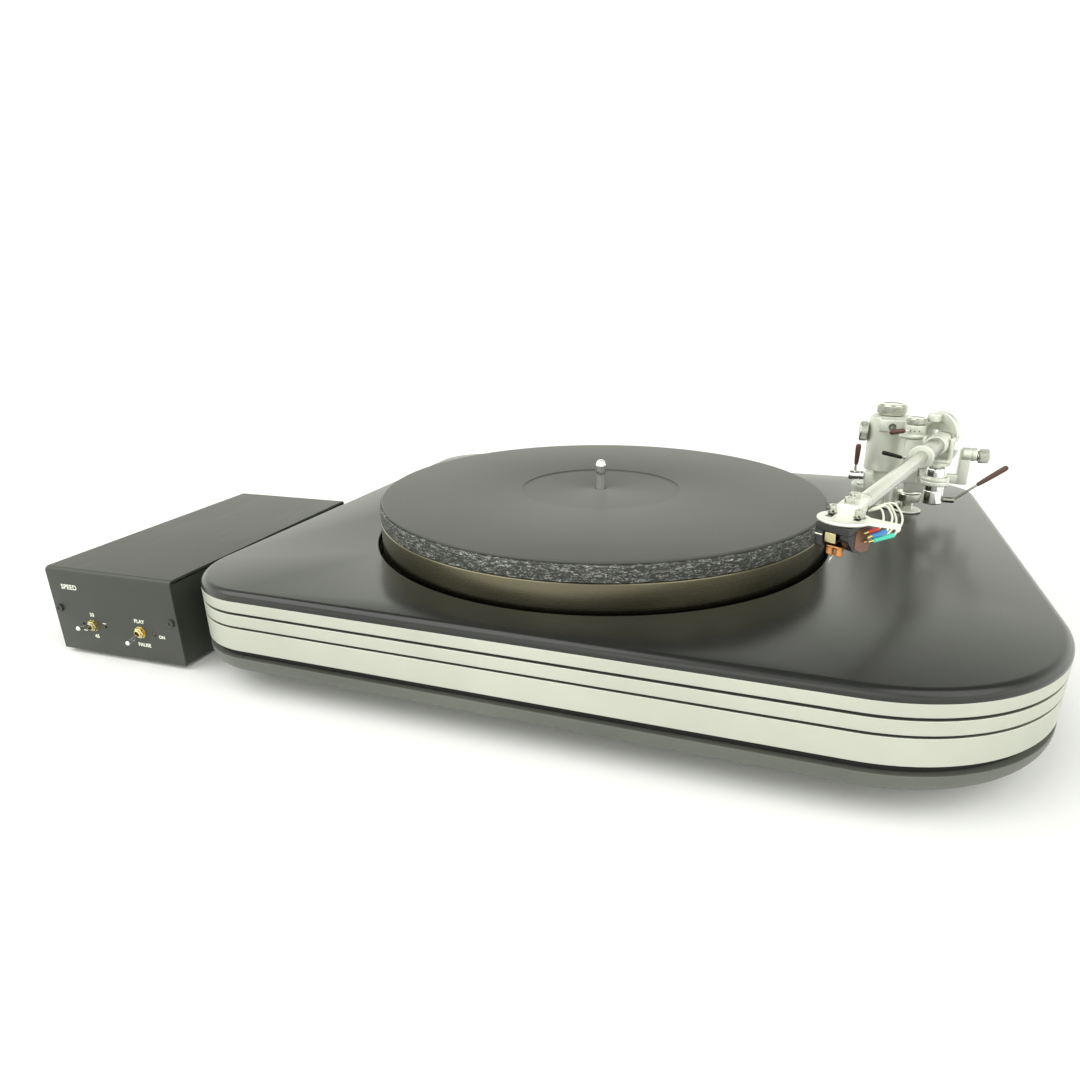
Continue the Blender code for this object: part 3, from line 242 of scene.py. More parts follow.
platterCentre = tuple(spindlePlace)
alongEdge = {"Stretch": (5.0, 5.0, 1900.0)}
finishes = {
    "black_lacquer": makeFinish("blackLacquer",
                                (0.010, 0.011, 0.010), (0.018, 0.019, 0.017), (0.20, 0.28),
                                settings={"Grain Scale": 1100.0}, bump=0.12),
    "brushed_aluminium": makeFinish("satinAluminium",
                                    (0.56, 0.575, 0.50), (0.64, 0.655, 0.575), (0.40, 0.55),
                                    "brushed", alongEdge, metallic=1.0, bump=0.05),
    "satin_silver": makeFinish("satinSilver", (0.66, 0.68, 0.60), (0.74, 0.755, 0.68), (0.36, 0.48),
                               settings={"Grain Scale": 2600.0, "Smear Scale": 60.0},
                               metallic=0.55, bump=0.06),
    "chrome": makeFinish("polishedChrome", (0.80, 0.81, 0.79), (0.88, 0.88, 0.86), (0.05, 0.10),
                         settings={"Grain Scale": 400.0}, metallic=1.0, bump=0.0),
    "rubber": makeFinish("blackRubber", (0.004, 0.004, 0.004), (0.009, 0.009, 0.008), (0.62, 0.85),
                         settings={"Grain Scale": 1500.0}, bump=0.25),
    "graphite": makeFinish("graphiteCompound", (0.030, 0.031, 0.028), (0.62, 0.64, 0.58), (0.55, 0.34),
                           "flecks", {"Amount": 0.27}, bump=0.3, bumpDepth=0.0003, mixBy="Grain"),
    "bronze_anodised": makeFinish("bronzeAnodised",
                                  (0.135, 0.125, 0.082), (0.185, 0.172, 0.115), (0.20, 0.34),
                                  "brushed", {"Stretch": (4.0, 4.0, 3200.0)}, metallic=1.0, bump=0.12),
    "mat_vinyl": makeFinish("blackMat", (0.052, 0.055, 0.047), (0.068, 0.071, 0.061), (0.40, 0.50),
                            "turned", {"Centre": platterCentre, "Rings": 1500.0}, bump=0.25),
    "steel": makeFinish("turnedSteel", (0.60, 0.60, 0.56), (0.74, 0.74, 0.69), (0.16, 0.28),
                        "brushed", {"Stretch": (60.0, 60.0, 5200.0)}, metallic=1.0, bump=0.10),
    "brass": makeFinish("turnedBrass", (0.70, 0.56, 0.26), (0.80, 0.66, 0.34), (0.18, 0.30),
                        "brushed", {"Stretch": (60.0, 60.0, 4000.0)}, metallic=1.0, bump=0.08),
    "black_enamel": makeFinish("blackEnamel", (0.026, 0.028, 0.023), (0.046, 0.050, 0.040), (0.34, 0.48),
                               "brushed", {"Stretch": (600.0, 30.0, 600.0)}, bump=0.15),
    "base_enamel": makeFinish("baseEnamel", (0.085, 0.090, 0.074), (0.125, 0.132, 0.110), (0.38, 0.52),
                              settings={"Grain Scale": 1800.0}, bump=0.25),
    "rosewood": makeFinish("rosewoodGrip", (0.045, 0.018, 0.014), (0.13, 0.055, 0.040), (0.30, 0.48),
                           "wood", bump=0.15),
    "ivory_plastic": makeFinish("pearlHeadshell", (0.80, 0.81, 0.72), (0.87, 0.88, 0.80), (0.34, 0.46),
                                settings={"Grain Scale": 3000.0, "Smear Scale": 50.0},
                                metallic=0.55, bump=0.05),
    "cartridge_black": makeFinish("cartridgeBlack",
                                  (0.012, 0.012, 0.012), (0.024, 0.024, 0.023), (0.22, 0.34),
                                  settings={"Grain Scale": 2400.0, "Smear Scale": 80.0}, bump=0.08),
    "board_green": makeFinish("circuitGreen", (0.02, 0.10, 0.04), (0.03, 0.17, 0.07), (0.35, 0.5),
                              settings={"Grain Scale": 700.0}, bump=0.1),
    "copper": makeFinish("copperWinding", (0.62, 0.27, 0.10), (0.80, 0.42, 0.18), (0.22, 0.38),
                         "brushed", {"Stretch": (500.0, 500.0, 5000.0)}, metallic=1.0, bump=0.3),
    "lamp_lens": makeFinish("lampLens", (0.05, 0.012, 0.010), (0.08, 0.016, 0.012), (0.12, 0.2),
                            settings={"Grain Scale": 900.0}, coat=0.5),
    "lead_red": makeFinish("redSleeve", (0.55, 0.035, 0.025), (0.70, 0.060, 0.040), (0.35, 0.5),
                           settings={"Grain Scale": 2500.0}, bump=0.1),
    "lead_white": makeFinish("whiteSleeve", (0.78, 0.78, 0.66), (0.88, 0.88, 0.77), (0.35, 0.5),
                             settings={"Grain Scale": 2500.0}, bump=0.1),
    "lead_blue": makeFinish("blueSleeve", (0.035, 0.20, 0.56), (0.055, 0.28, 0.68), (0.35, 0.5),
                            settings={"Grain Scale": 2500.0}, bump=0.1),
    "lead_green": makeFinish("greenSleeve", (0.05, 0.55, 0.40), (0.09, 0.68, 0.50), (0.35, 0.5),
                             settings={"Grain Scale": 2500.0}, bump=0.1),
    "wire": makeFinish("ivoryWire", (0.74, 0.75, 0.62), (0.86, 0.87, 0.74), (0.32, 0.46),
                       settings={"Grain Scale": 2500.0}, bump=0.05),
    "ink": makeFinish("labelInk", (0.78, 0.80, 0.68), (0.86, 0.88, 0.76), (0.5, 0.65),
                      settings={"Grain Scale": 2500.0}, bump=0.1),
    "gold": makeFinish("goldPlate", (0.85, 0.62, 0.22), (0.95, 0.74, 0.32), (0.14, 0.24),
                       settings={"Grain Scale": 800.0}, metallic=1.0),
    "knobSteel": makeFinish("knurledSteel", (0.46, 0.47, 0.41), (0.62, 0.63, 0.56), (0.14, 0.28),
                            "brushed", {"Stretch": (60.0, 60.0, 5200.0)}, metallic=1.0, bump=0.1),
    "tubeSteel": makeFinish("tubeSteel", (0.40, 0.40, 0.36), (0.54, 0.54, 0.49), (0.16, 0.30),
                            "brushed", {"Stretch": (900.0, 900.0, 900.0)}, metallic=1.0, bump=0.06),
    "paleBrass": makeFinish("paleBrass", (0.42, 0.37, 0.20), (0.58, 0.52, 0.30), (0.16, 0.26),
                            settings={"Grain Scale": 900.0}, metallic=1.0, bump=0.05),
    "smoked": makeFinish("smokedSteel", (0.20, 0.20, 0.18), (0.32, 0.32, 0.28), (0.16, 0.26),
                         "brushed", {"Stretch": (60.0, 60.0, 4200.0)}, metallic=1.0, bump=0.1),
    "panelWood": makeFinish("cartridgeWood", (0.13, 0.055, 0.030), (0.22, 0.100, 0.058), (0.34, 0.5),
                            "wood", {"Stretch": (300.0, 300.0, 1500.0)}, bump=0.2),
    # near black for the ring's dark dots, and painted shade for the strips under the yoke shelf that stand in for
    # its shadow
    "darkMarksAndPaintedShade": makeFinish("darkMarksAndShadeBlack", (0.010, 0.010, 0.010), (0.016, 0.016, 0.016), (0.6, 0.8)),
}
print("finishes:", len(finishes))

for node, piece in frame["nodes"].items():
    for index in range(max(1, len(piece.material_slots))):
        if not piece.material_slots:
            piece.data.materials.append(None)
        piece.material_slots[index].material = finishes[slotOf[node]]


# drawing tools: shapes are drawn in a piece's own millimetres, then put in place

def softened(points, radius, steps=3, closed=False):
    # round the corners of a profile
    result = []
    count = len(points)
    for i, point in enumerate(points):
        if not closed and i in (0, count - 1):
            result.append(point)
            continue
        here, before, after = Vector(point), Vector(points[i - 1]), Vector(points[(i + 1) % count])
        back, forth = before - here, after - here
        cut = min(radius, back.length * 0.45, forth.length * 0.45)
        first, last = here + back.normalized() * cut, here + forth.normalized() * cut
        for step in range(steps + 1):
            t = step / steps
            result.append(tuple(first * (1 - t) ** 2 + here * 2 * t * (1 - t) + last * t ** 2))
    return result


def lathe(shape, profile, steps=96, closed=False, turn=None):
    # spin (radius, height) points round Z; turn then tips the result
    turn = turn or Matrix.Identity(4)
    rings = []
    for radius, height in profile:
        if radius < 0.001:
            rings.append([shape.verts.new(turn @ Vector((0, 0, height)))])
        else:
            angles = [2 * math.pi * i / steps for i in range(steps)]
            spots = [Vector((radius * math.cos(t), radius * math.sin(t), height)) for t in angles]
            rings.append([shape.verts.new(turn @ spot) for spot in spots])
    pairs = list(zip(rings, rings[1:]))
    if closed:
        pairs.append((rings[-1], rings[0]))
    for upper, lower in pairs:
        for i in range(steps):
            j = (i + 1) % steps
            if len(upper) == 1 and len(lower) == 1:
                continue
            if len(upper) == 1:
                shape.faces.new((upper[0], lower[i], lower[j]))
            elif len(lower) == 1:
                shape.faces.new((upper[i], lower[0], upper[j]))
            else:
                shape.faces.new((upper[i], lower[i], lower[j], upper[j]))


def towards(start, end):
    # a matrix that carries the Z axis from start to end
    first, last = Vector(start), Vector(end)
    return Matrix.Translation(first) @ (last - first).to_track_quat("Z", "Y").to_matrix().to_4x4()


def bar(shape, start, end, radius, endRadius=None, steps=40, soft=0.3):
    # a round bar with softened rims
    length = (Vector(end) - Vector(start)).length
    last = radius if endRadius is None else endRadius
    profile = softened([(0, length), (last, length), (radius, 0), (0, 0)], min(soft, radius * 0.4))
    lathe(shape, profile, steps, turn=towards(start, end))


def easeEdges(shape, edges, offset, segments=3):
    bmesh.ops.bevel(shape, geom=edges, offset=offset, segments=segments, profile=0.5, affect="EDGES")


def brick(shape, size, middle=(0, 0, 0), turn=0.0, soft=0.3):
    # a box with rounded edges
    made = bmesh.ops.create_cube(shape, size=1.0)["verts"]
    place = Matrix.Translation(middle) @ Matrix.Rotation(turn, 4, "Z") @ Matrix.Diagonal((*size, 1.0))
    bmesh.ops.transform(shape, matrix=place, verts=made)
    if soft:
        edges = {edge for vert in made for edge in vert.link_edges}
        easeEdges(shape, list(edges), min(soft, min(size) * 0.3))


def loopsToShell(shape, loops, capFirst=True, capLast=True):
    # join outlines of equal length into a closed shell
    rings = [[shape.verts.new(point) for point in loop] for loop in loops]
    for lower, upper in zip(rings, rings[1:]):
        for i in range(len(lower)):
            j = (i + 1) % len(lower)
            shape.faces.new((lower[i], lower[j], upper[j], upper[i]))
    if capFirst:
        shape.faces.new(list(reversed(rings[0])))
    if capLast:
        shape.faces.new(rings[-1])
    return rings


def ringEdges(shape, ring):
    return [shape.edges.get((ring[i], ring[(i + 1) % len(ring)])) for i in range(len(ring))]


def arcPoints(middle, radius, start, end, steps):
    angles = [math.radians(start + (end - start) * i / steps) for i in range(steps + 1)]
    return [(middle[0] + radius * math.cos(a), middle[1] + radius * math.sin(a)) for a in angles]


def slab(shape, outline, low, high, soft=0.2):
    # a flat plate from one outline in plan, with its rims eased
    rings = loopsToShell(shape, [[(x, y, z) for x, y in outline] for z in (low, high)])
    if soft:
        easeEdges(shape, ringEdges(shape, rings[0]) + ringEdges(shape, rings[1]), soft, 2)


def plainMesh(thing):
    # apply the modifiers, and leave a plain mesh
    bpy.context.view_layer.update()
    evaluated = thing.evaluated_get(bpy.context.evaluated_depsgraph_get())
    mesh = bpy.data.meshes.new_from_object(evaluated)
    thing.modifiers.clear()
    thing.data = mesh
    return thing


def faceOutward(mesh):
    shape = bmesh.new()
    shape.from_mesh(mesh)
    bmesh.ops.recalc_face_normals(shape, faces=shape.faces)
    shape.to_mesh(mesh)
    shape.free()


def drawn(name, shape):
    bmesh.ops.remove_doubles(shape, verts=shape.verts, dist=0.0005)
    bmesh.ops.recalc_face_normals(shape, faces=shape.faces)
    mesh = bpy.data.meshes.new(name)
    shape.to_mesh(mesh)
    shape.free()
    piece = bpy.data.objects.new(name, mesh)
    bpy.context.scene.collection.objects.link(piece)
    return piece


def dressed(piece, finish, place, sharp=32):
    # put the mesh in place, with one finish and smooth faces between its sharp edges
    piece.data.transform(place)
    piece.data.materials.clear()
    piece.data.materials.append(finishes[finish])
    for face in piece.data.polygons:
        face.material_index = 0
    piece.data.shade_smooth()
    piece.data.set_sharp_from_angle(angle=math.radians(sharp))


def makePiece(name, shape, finish, body, nodes=(), place=groundFrame, cuts=(), trees=(), sharp=32):
    # shape in millimetres -> cuts -> geometry trees -> placed, finished piece riding its body
    piece = drawn(name, shape)
    helpers = []
    for cutter in cuts:
        helper = drawn(name + "Cutter", cutter)
        helpers.append(helper)
        step = piece.modifiers.new("Cut", "BOOLEAN")
        step.operation = "DIFFERENCE"
        step.object = helper
        step.solver = "EXACT"
        step.use_self = True  # a piece is drawn as shells that overlap
    if cuts:
        plainMesh(piece)
    for helper in helpers:
        bpy.data.objects.remove(helper)
    for tree, values in trees:
        applyTree(piece, tree, values)
    faceOutward(piece.data)
    dressed(piece, finish, place, sharp)
    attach(piece, body)
    if nodes:
        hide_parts(*nodes)
    return piece


# geometry trees

def newTree(name, inputs):
    tree = bpy.data.node_groups.new(name, "GeometryNodeTree")
    tree.interface.new_socket("Geometry", in_out="INPUT", socket_type="NodeSocketGeometry")
    for label, kind, value in inputs:
        socket = tree.interface.new_socket(label, in_out="INPUT", socket_type="NodeSocket" + kind)
        if value is not None:
            socket.default_value = value
    tree.interface.new_socket("Geometry", in_out="OUTPUT", socket_type="NodeSocketGeometry")
    return tree, tree.nodes.new("NodeGroupInput"), tree.nodes.new("NodeGroupOutput")


def treeNode(tree, kind, links=None, values=None, **settings):
    node = tree.nodes.new(kind)
    for name, value in settings.items():
        setattr(node, name, value)
    for label, value in (values or {}).items():
        node.inputs[label].default_value = value
    for label, source in (links or {}).items():
        tree.links.new(source, node.inputs[label])
    return node


def finishTree(tree, source, result, geometry):
    # every tree ends in plain geometry with its material
    real = treeNode(tree, "GeometryNodeRealizeInstances", {"Geometry": geometry})
    coloured = treeNode(tree, "GeometryNodeSetMaterial",
                        {"Geometry": real.outputs[0], "Material": source.outputs["Finish"]})
    tree.links.new(coloured.outputs[0], result.inputs[0])


def makeRibTree():
    # ribs spaced evenly round a knob whose axis is Z
    tree, source, result = newTree("knurledRibs", [
        ("Ribs", "Int", 60), ("Ring Radius", "Float", 10.0), ("Rib Radius", "Float", 0.3),
        ("Rib Length", "Float", 5.0),
        ("Height", "Float", 4.0), ("Finish", "Material", None)])
    ring = treeNode(tree, "GeometryNodeMeshCircle",
                    {"Vertices": source.outputs["Ribs"], "Radius": source.outputs["Ring Radius"]})
    lift = treeNode(tree, "ShaderNodeCombineXYZ", {"Z": source.outputs["Height"]})
    raised = treeNode(tree, "GeometryNodeTransform",
                      {"Geometry": ring.outputs[0], "Translation": lift.outputs[0]})
    rib = treeNode(tree, "GeometryNodeMeshCylinder",
                   {"Radius": source.outputs["Rib Radius"],
                    "Depth": source.outputs["Rib Length"]}, {"Vertices": 8})
    placed = treeNode(tree, "GeometryNodeInstanceOnPoints",
                      {"Points": raised.outputs[0], "Instance": rib.outputs[0]})
    joined = treeNode(tree, "GeometryNodeJoinGeometry", {"Geometry": source.outputs["Geometry"]})
    tree.links.new(placed.outputs[0], joined.inputs["Geometry"])
    finishTree(tree, source, result, joined.outputs[0])
    return tree


def makeScrewTree():
    # socket head screws standing on the points of a mesh
    tree, source, result = newTree("socketScrews", [
        ("Head Radius", "Float", 2.5), ("Head Height", "Float", 3.0), ("Socket Radius", "Float", 1.3),
        ("Sides", "Int", 40), ("Direction", "Vector", (0.0, 0.0, 1.0)), ("Finish", "Material", None)])
    head = treeNode(tree, "GeometryNodeMeshCylinder",
                    {"Vertices": source.outputs["Sides"], "Radius": source.outputs["Head Radius"],
                     "Depth": source.outputs["Head Height"]})
    socket = treeNode(tree, "GeometryNodeMeshCylinder",
                      {"Radius": source.outputs["Socket Radius"],
                       "Depth": source.outputs["Head Height"]}, {"Vertices": 6})
    half = treeNode(tree, "ShaderNodeMath", {0: source.outputs["Head Height"]}, {1: 0.5},
                    operation="MULTIPLY")
    rise = treeNode(tree, "ShaderNodeCombineXYZ", {"Z": half.outputs[0]})
    lifted = treeNode(tree, "GeometryNodeTransform",
                      {"Geometry": socket.outputs[0], "Translation": rise.outputs[0]})
    hollow = treeNode(tree, "GeometryNodeMeshBoolean",
                      {"Mesh 1": head.outputs[0], "Mesh 2": lifted.outputs[0]},
                      operation="DIFFERENCE")
    seated = treeNode(tree, "GeometryNodeTransform",
                      {"Geometry": hollow.outputs[0], "Translation": rise.outputs[0]})
    aim = treeNode(tree, "FunctionNodeAlignRotationToVector", {"Vector": source.outputs["Direction"]},
                   axis="Z")
    placed = treeNode(tree, "GeometryNodeInstanceOnPoints",
                      {"Points": source.outputs["Geometry"], "Instance": seated.outputs[0],
                       "Rotation": aim.outputs[0]})
    finishTree(tree, source, result, placed.outputs[0])
    return tree


def makeSweepTree():
    # carry a closed cross section round the upright axis
    tree, source, result = newTree("sweptRing", [
        ("Steps", "Int", 240), ("Path Radius", "Float", 100.0), ("Finish", "Material", None)])
    section = treeNode(tree, "GeometryNodeMeshToCurve", {"Mesh": source.outputs["Geometry"]})
    path = treeNode(tree, "GeometryNodeCurvePrimitiveCircle",
                    {"Resolution": source.outputs["Steps"], "Radius": source.outputs["Path Radius"]})
    swept = treeNode(tree, "GeometryNodeCurveToMesh",
                     {"Curve": path.outputs[0], "Profile Curve": section.outputs[0]})
    finishTree(tree, source, result, swept.outputs[0])
    return tree


def applyTree(piece, tree, values):
    # inputs are set by the socket's identifier before the piece is evaluated
    step = piece.modifiers.new(tree.name, "NODES")
    step.node_group = tree
    for item in tree.interface.items_tree:
        if item.item_type == "SOCKET" and item.in_out == "INPUT" and item.name in values:
            step[item.identifier] = values[item.name]
    plainMesh(piece)


ribTree = makeRibTree()
screwTree = makeScrewTree()
sweepTree = makeSweepTree()


def ribbed(finish, count, ringRadius, ribRadius, length, height):
    return [(ribTree, {"Ribs": count, "Ring Radius": float(ringRadius), "Rib Radius": float(ribRadius),
                       "Rib Length": float(length), "Height": float(height), "Finish": finishes[finish]})]


def screws(name, spots, finish, body, place, radius, height, socket, direction=(0, 0, 1), sides=40,
           slot=None):
    shape = bmesh.new()
    for spot in spots:
        shape.verts.new(spot)
    mesh = bpy.data.meshes.new(name)
    shape.to_mesh(mesh)
    shape.free()
    piece = bpy.data.objects.new(name, mesh)
    bpy.context.scene.collection.objects.link(piece)
    applyTree(piece, screwTree, {
        "Head Radius": float(radius), "Head Height": float(height), "Sides": sides,
        "Socket Radius": float(socket), "Direction": direction, "Finish": finishes[finish]})
    ease = piece.modifiers.new("Ease", "BEVEL")
    ease.width = min(0.2, radius * 0.12)
    ease.segments = 2
    ease.limit_method = "ANGLE"
    ease.angle_limit = math.radians(40)
    plainMesh(piece)
    dressed(piece, finish, place)
    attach(piece, body)
    return piece


print("trees ready")


# camera, first of all

cameraSet = {
    "offset": (0.13450, -0.47347, 0.22298), "yaw": 0.3362, "tilt": -0.3505, "roll": -0.0099,
    "lens": 23.989, "shiftX": -0.01818, "shiftY": 0.01575,
}


def makeCamera(values):
    data = bpy.data.cameras.new("camera")
    data.sensor_width = 36.0
    data.lens = values["lens"]
    data.shift_x, data.shift_y = values["shiftX"], values["shiftY"]
    data.clip_start, data.clip_end = 0.01, 30.0
    camera = bpy.data.objects.new("camera", data)
    bpy.context.scene.collection.objects.link(camera)
    at = Vector((spindlePlace.x, spindlePlace.y, 0)) + Vector(values["offset"])
    camera.matrix_world = (Matrix.Translation(at) @ Matrix.Rotation(values["yaw"], 4, "Z")
                           @ Matrix.Rotation(math.pi / 2 + values["tilt"], 4, "X")
                           @ Matrix.Rotation(values["roll"], 4, "Z"))
    bpy.context.scene.camera = camera


makeCamera(cameraSet)


# plinth

plinth = {"corners": {"frontLeft": 50.0, "frontRight": 101.0, "rearRight": 35.0, "rearLeft": 45.0},
          "cornerSteps": 40, "wellRadius": 154.3, "wellSteps": 200, "topRound": 4.9, "baseRound": 10.0,
          "overlap": 0.13,  # each layer is drawn this much thicker, so that no light shows between two
          "underScrews": ((-190, -130), (-190, 150), (30, -160), (30, 185), (225, -60), (225, 175))}


def localBox(node, place):
    low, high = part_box(node)
    back = place.inverted()
    return back @ low, back @ high


def plinthOutline(inset=0.0):
    low, high = localBox("upper_plate", groundFrame)
    left, right, front, rear = low.x + inset, high.x - inset, low.y + inset, high.y - inset
    corners = (("frontLeft", left, front, 1, 1, 180), ("frontRight", right, front, -1, 1, 270),
               ("rearRight", right, rear, -1, -1, 0), ("rearLeft", left, rear, 1, -1, 90))
    points = []
    for corner, x, y, side, way, start in corners:
        radius = plinth["corners"][corner] - inset
        points += arcPoints((x + side * radius, y + way * radius), radius, start, start + 90,
                            plinth["cornerSteps"])
    return points


def easedRim(low, high, lowRound, highRound, steps=8):
    # (inset, height) pairs up the side of a plate with quarter rounds at its rims
    pairs = []
    for i in range(steps + 1):
        angle = math.pi / 2 * (1 - i / steps)
        pairs.append((lowRound * (1 - math.cos(angle)), low + lowRound * (1 - math.sin(angle))))
    for i in range(steps + 1):
        angle = math.pi / 2 * i / steps
        pairs.append((highRound * (1 - math.cos(angle)), high - highRound * (1 - math.sin(angle))))
    return pairs


def plateShape(low, high, inset=0.0, lowRound=0.3, highRound=0.3, well=False, wellRound=0.3):
    shape = bmesh.new()
    outer = [[(x, y, z) for x, y in plinthOutline(inset + cut)]
             for cut, z in easedRim(low, high, lowRound, highRound)]
    rings = loopsToShell(shape, outer, capFirst=not well, capLast=not well)
    if well:
        steps = plinth["wellSteps"]
        inner = [[(x, y, z) for x, y in arcPoints((0, 0), plinth["wellRadius"] + cut, 0, 360, steps)[:-1]]
                 for cut, z in easedRim(low, high, 0.2, wellRound, 4)]
        holes = loopsToShell(shape, inner, False, False)
        for outside, inside in ((rings[0], holes[0]), (rings[-1], holes[-1])):
            edges = ringEdges(shape, outside) + ringEdges(shape, inside)
            bmesh.ops.triangle_fill(shape, edges=edges, use_beauty=True)
    return shape


def nodeSpan(node, place):
    low, high = localBox(node, place)
    return low.z, high.z


def makePlinth():
    rims = {"lower_plate": (0.0, False), "middle_plate": (0.0, True), "upper_plate": (0.0, True),
            "lower_damping_sheet": (1.0, True), "upper_damping_sheet": (1.0, True),
            "isolation_layer": (3.5, False)}  # how far each layer stands in, and whether it has the well
    for node, (inset, well) in rims.items():
        low, high = nodeSpan(node, groundFrame)
        shape = plateShape(low - plinth["overlap"], high + plinth["overlap"], inset, 0.35, 0.35, well)
        makePiece(node.replace("_", "") + "Look", shape, slotOf[node], "plinth", [node])
    low, high = nodeSpan("top_plate", groundFrame)
    makePiece("topPlateLook", plateShape(low - plinth["overlap"], high, 0.0, 0.3, plinth["topRound"], True,
                                         0.9),
              "black_lacquer", "plinth", ["top_plate"])
    low, high = nodeSpan("base_plate", groundFrame)
    shape = plateShape(low, high + plinth["overlap"], 0.0, plinth["baseRound"], 0.5)
    makePiece("basePlateLook", shape, "base_enamel", "plinth", ["base_plate"])
    for number in (1, 2, 3):
        low, high = localBox(f"foot_{number}", groundFrame)
        middle, radius = (low + high) / 2, (high.x - low.x) / 2
        shape = bmesh.new()
        profile = [(0, high.z), (radius, high.z), (radius, 8.4), (radius - 0.8, 8.0), (radius - 0.8, 7.0),
                   (radius, 6.6), (radius, 2.2), (radius - 2.0, 0.0), (radius - 6, 0.0), (radius - 7, 0.8),
                   (0, 0.8)]
        lathe(shape, softened(profile, 0.6), 72, turn=Matrix.Translation((middle.x, middle.y, 0)))
        makePiece(f"foot{number}Look", shape, "rubber", "plinth", [f"foot_{number}"])
    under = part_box("base_plate")[0].z / mm
    spots = [(x, y, under) for x, y in plinth["underScrews"]]
    screws("basePlateScrews", spots, "smoked", "plinth", groundFrame, 3.2, 1.6, 1.7, (0, 0, -1))
    socket = bmesh.new()
    low, high = localBox("motor_socket", groundFrame)
    middle = (low + high) / 2
    bar(socket, (middle.x, high.y - 17, middle.z), (middle.x, high.y, middle.z), 5.2, steps=48)
    hollow = bmesh.new()
    bar(hollow, (middle.x, high.y - 6, middle.z), (middle.x, high.y + 2, middle.z), 3.7, steps=48, soft=0)
    makePiece("motorSocketLook", socket, "chrome", "plinth", ["motor_socket"], cuts=[hollow])
    pins = bmesh.new()
    for angle in (30, 110, 190, 270):
        turn = math.radians(angle)
        x, z = middle.x + 1.8 * math.cos(turn), middle.z + 1.8 * math.sin(turn)
        bar(pins, (x, high.y - 7, z), (x, high.y - 2.5, z), 0.45, steps=12, soft=0.1)
    makePiece("motorSocketPins", pins, "gold", "plinth")


makePlinth()
print("plinth done")


# platter

platter = {"steps": 240, "pathRadius": 100.0, "grooves": (60.6, 58.2, 55.6), "grooveDepth": 0.16,
           "grooveWidth": 0.22, "matRim": 0.5}


def sweptPiece(name, profile, finish, node, sharp):
    # a platter layer: its closed profile of (radius, height) points carried round the spindle
    reach = platter["pathRadius"]
    section = bmesh.new()
    corners = [section.verts.new((radius - reach, -height, 0)) for radius, height in profile]
    for first, last in zip(corners, corners[1:] + corners[:1]):
        section.edges.new((first, last))
    values = {"Steps": platter["steps"], "Path Radius": reach, "Finish": finishes[finish]}
    makePiece(name, section, finish, "platter", [node], trees=[(sweepTree, values)], sharp=sharp)


def makePlatter():
    low, high = localBox("platter_body", groundFrame)
    radius = (high.x - low.x) / 2
    side = [(5.31, high.z), (radius - 0.6, high.z), (radius, high.z - 0.6)]
    for height in platter["grooves"]:
        half, deep = platter["grooveWidth"], radius - platter["grooveDepth"]
        side += [(radius, height + half), (deep, height + half * 0.5),
                 (deep, height - half * 0.5), (radius, height - half)]
    side += [(radius, low.z + 0.8), (radius - 0.8, low.z), (139.0, low.z), (139.0, 76.0), (5.31, 76.0)]
    side = softened(side, 0.12, 2, closed=True)
    sweptPiece("platterBodyLook", side, "bronze_anodised", "platter_body", 25)

    low, high = localBox("graphite_layer", groundFrame)
    radius = (high.x - low.x) / 2
    layer = [(3.9, high.z + 0.13), (radius - 0.5, high.z + 0.13), (radius, high.z - 0.4),
             (radius, low.z + 0.3),
             (radius - 0.4, low.z - 0.13), (3.9, low.z - 0.13)]
    layer = softened(layer, 0.25, 3, closed=True)
    sweptPiece("graphiteLayerLook", layer, "graphite", "graphite_layer", 32)

    low, high = localBox("platter_mat", groundFrame)
    radius, label, recess = (high.x - low.x) / 2, 55.0, 0.7
    rim = platter["matRim"]
    profile = [(3.9, high.z - recess), (label - 0.4, high.z - recess), (label, high.z - recess + 0.3),
               (label, high.z)]
    profile += [(radius - rim, high.z), (radius, high.z - rim), (radius, low.z - 0.1), (3.9, low.z - 0.1)]
    sweptPiece("platterMatLook", softened(profile, 0.15, 3, closed=True), "mat_vinyl", "platter_mat", 32)

    low, high = localBox("spindle", groundFrame)
    tip, foot = high.z, low.z
    profile = [(0, tip), (1.9, tip - 0.1), (2.7, tip - 0.9), (3.55, tip - 3.4), (3.6, tip - 4.2),
               (3.6, 83.3), (5.0, 83.3),
               (5.0, foot), (0, foot)]
    shape = bmesh.new()
    lathe(shape, softened(profile, 0.5, 4), 64)
    makePiece("spindleLook", shape, "chrome", "platter", ["spindle"])


makePlatter()
print("platter done")


# control unit

unitAcross = jointAxis["speed_flip"].normalized()
unitBack = Vector((-unitAcross.y, unitAcross.x, 0))
unitSet = {"speedX": 30.3, "playX": 68.8, "lampX": 79.5, "switchHeight": 22.7, "pivotDepth": 0.8,
           "width": 100.2, "depth": 190.4, "fold": 3.0, "sheet": 1.6, "sideInset": 1.6,
           "inletX": 27.0, "leadX": 74.0, "rearHeight": 33.0,
           "frontHoles": ((30.3, 3.2), (68.8, 3.2), (79.5, 1.6), (22.3, 0.9), (40.6, 0.9)),
           "frontScrew": (2.6, 1.2, 1.3)}  # head radius, head height and socket radius

unitCorner = (jointPlace["speed_flip"] - unitAcross * unitSet["speedX"] * mm
              - unitBack * unitSet["pivotDepth"] * mm)
unitFrame = Matrix(((unitAcross.x, unitBack.x, 0, unitCorner.x),
                    (unitAcross.y, unitBack.y, 0, unitCorner.y),
                    (0, 0, 1, 0), (0, 0, 0, 1))) @ toMetres


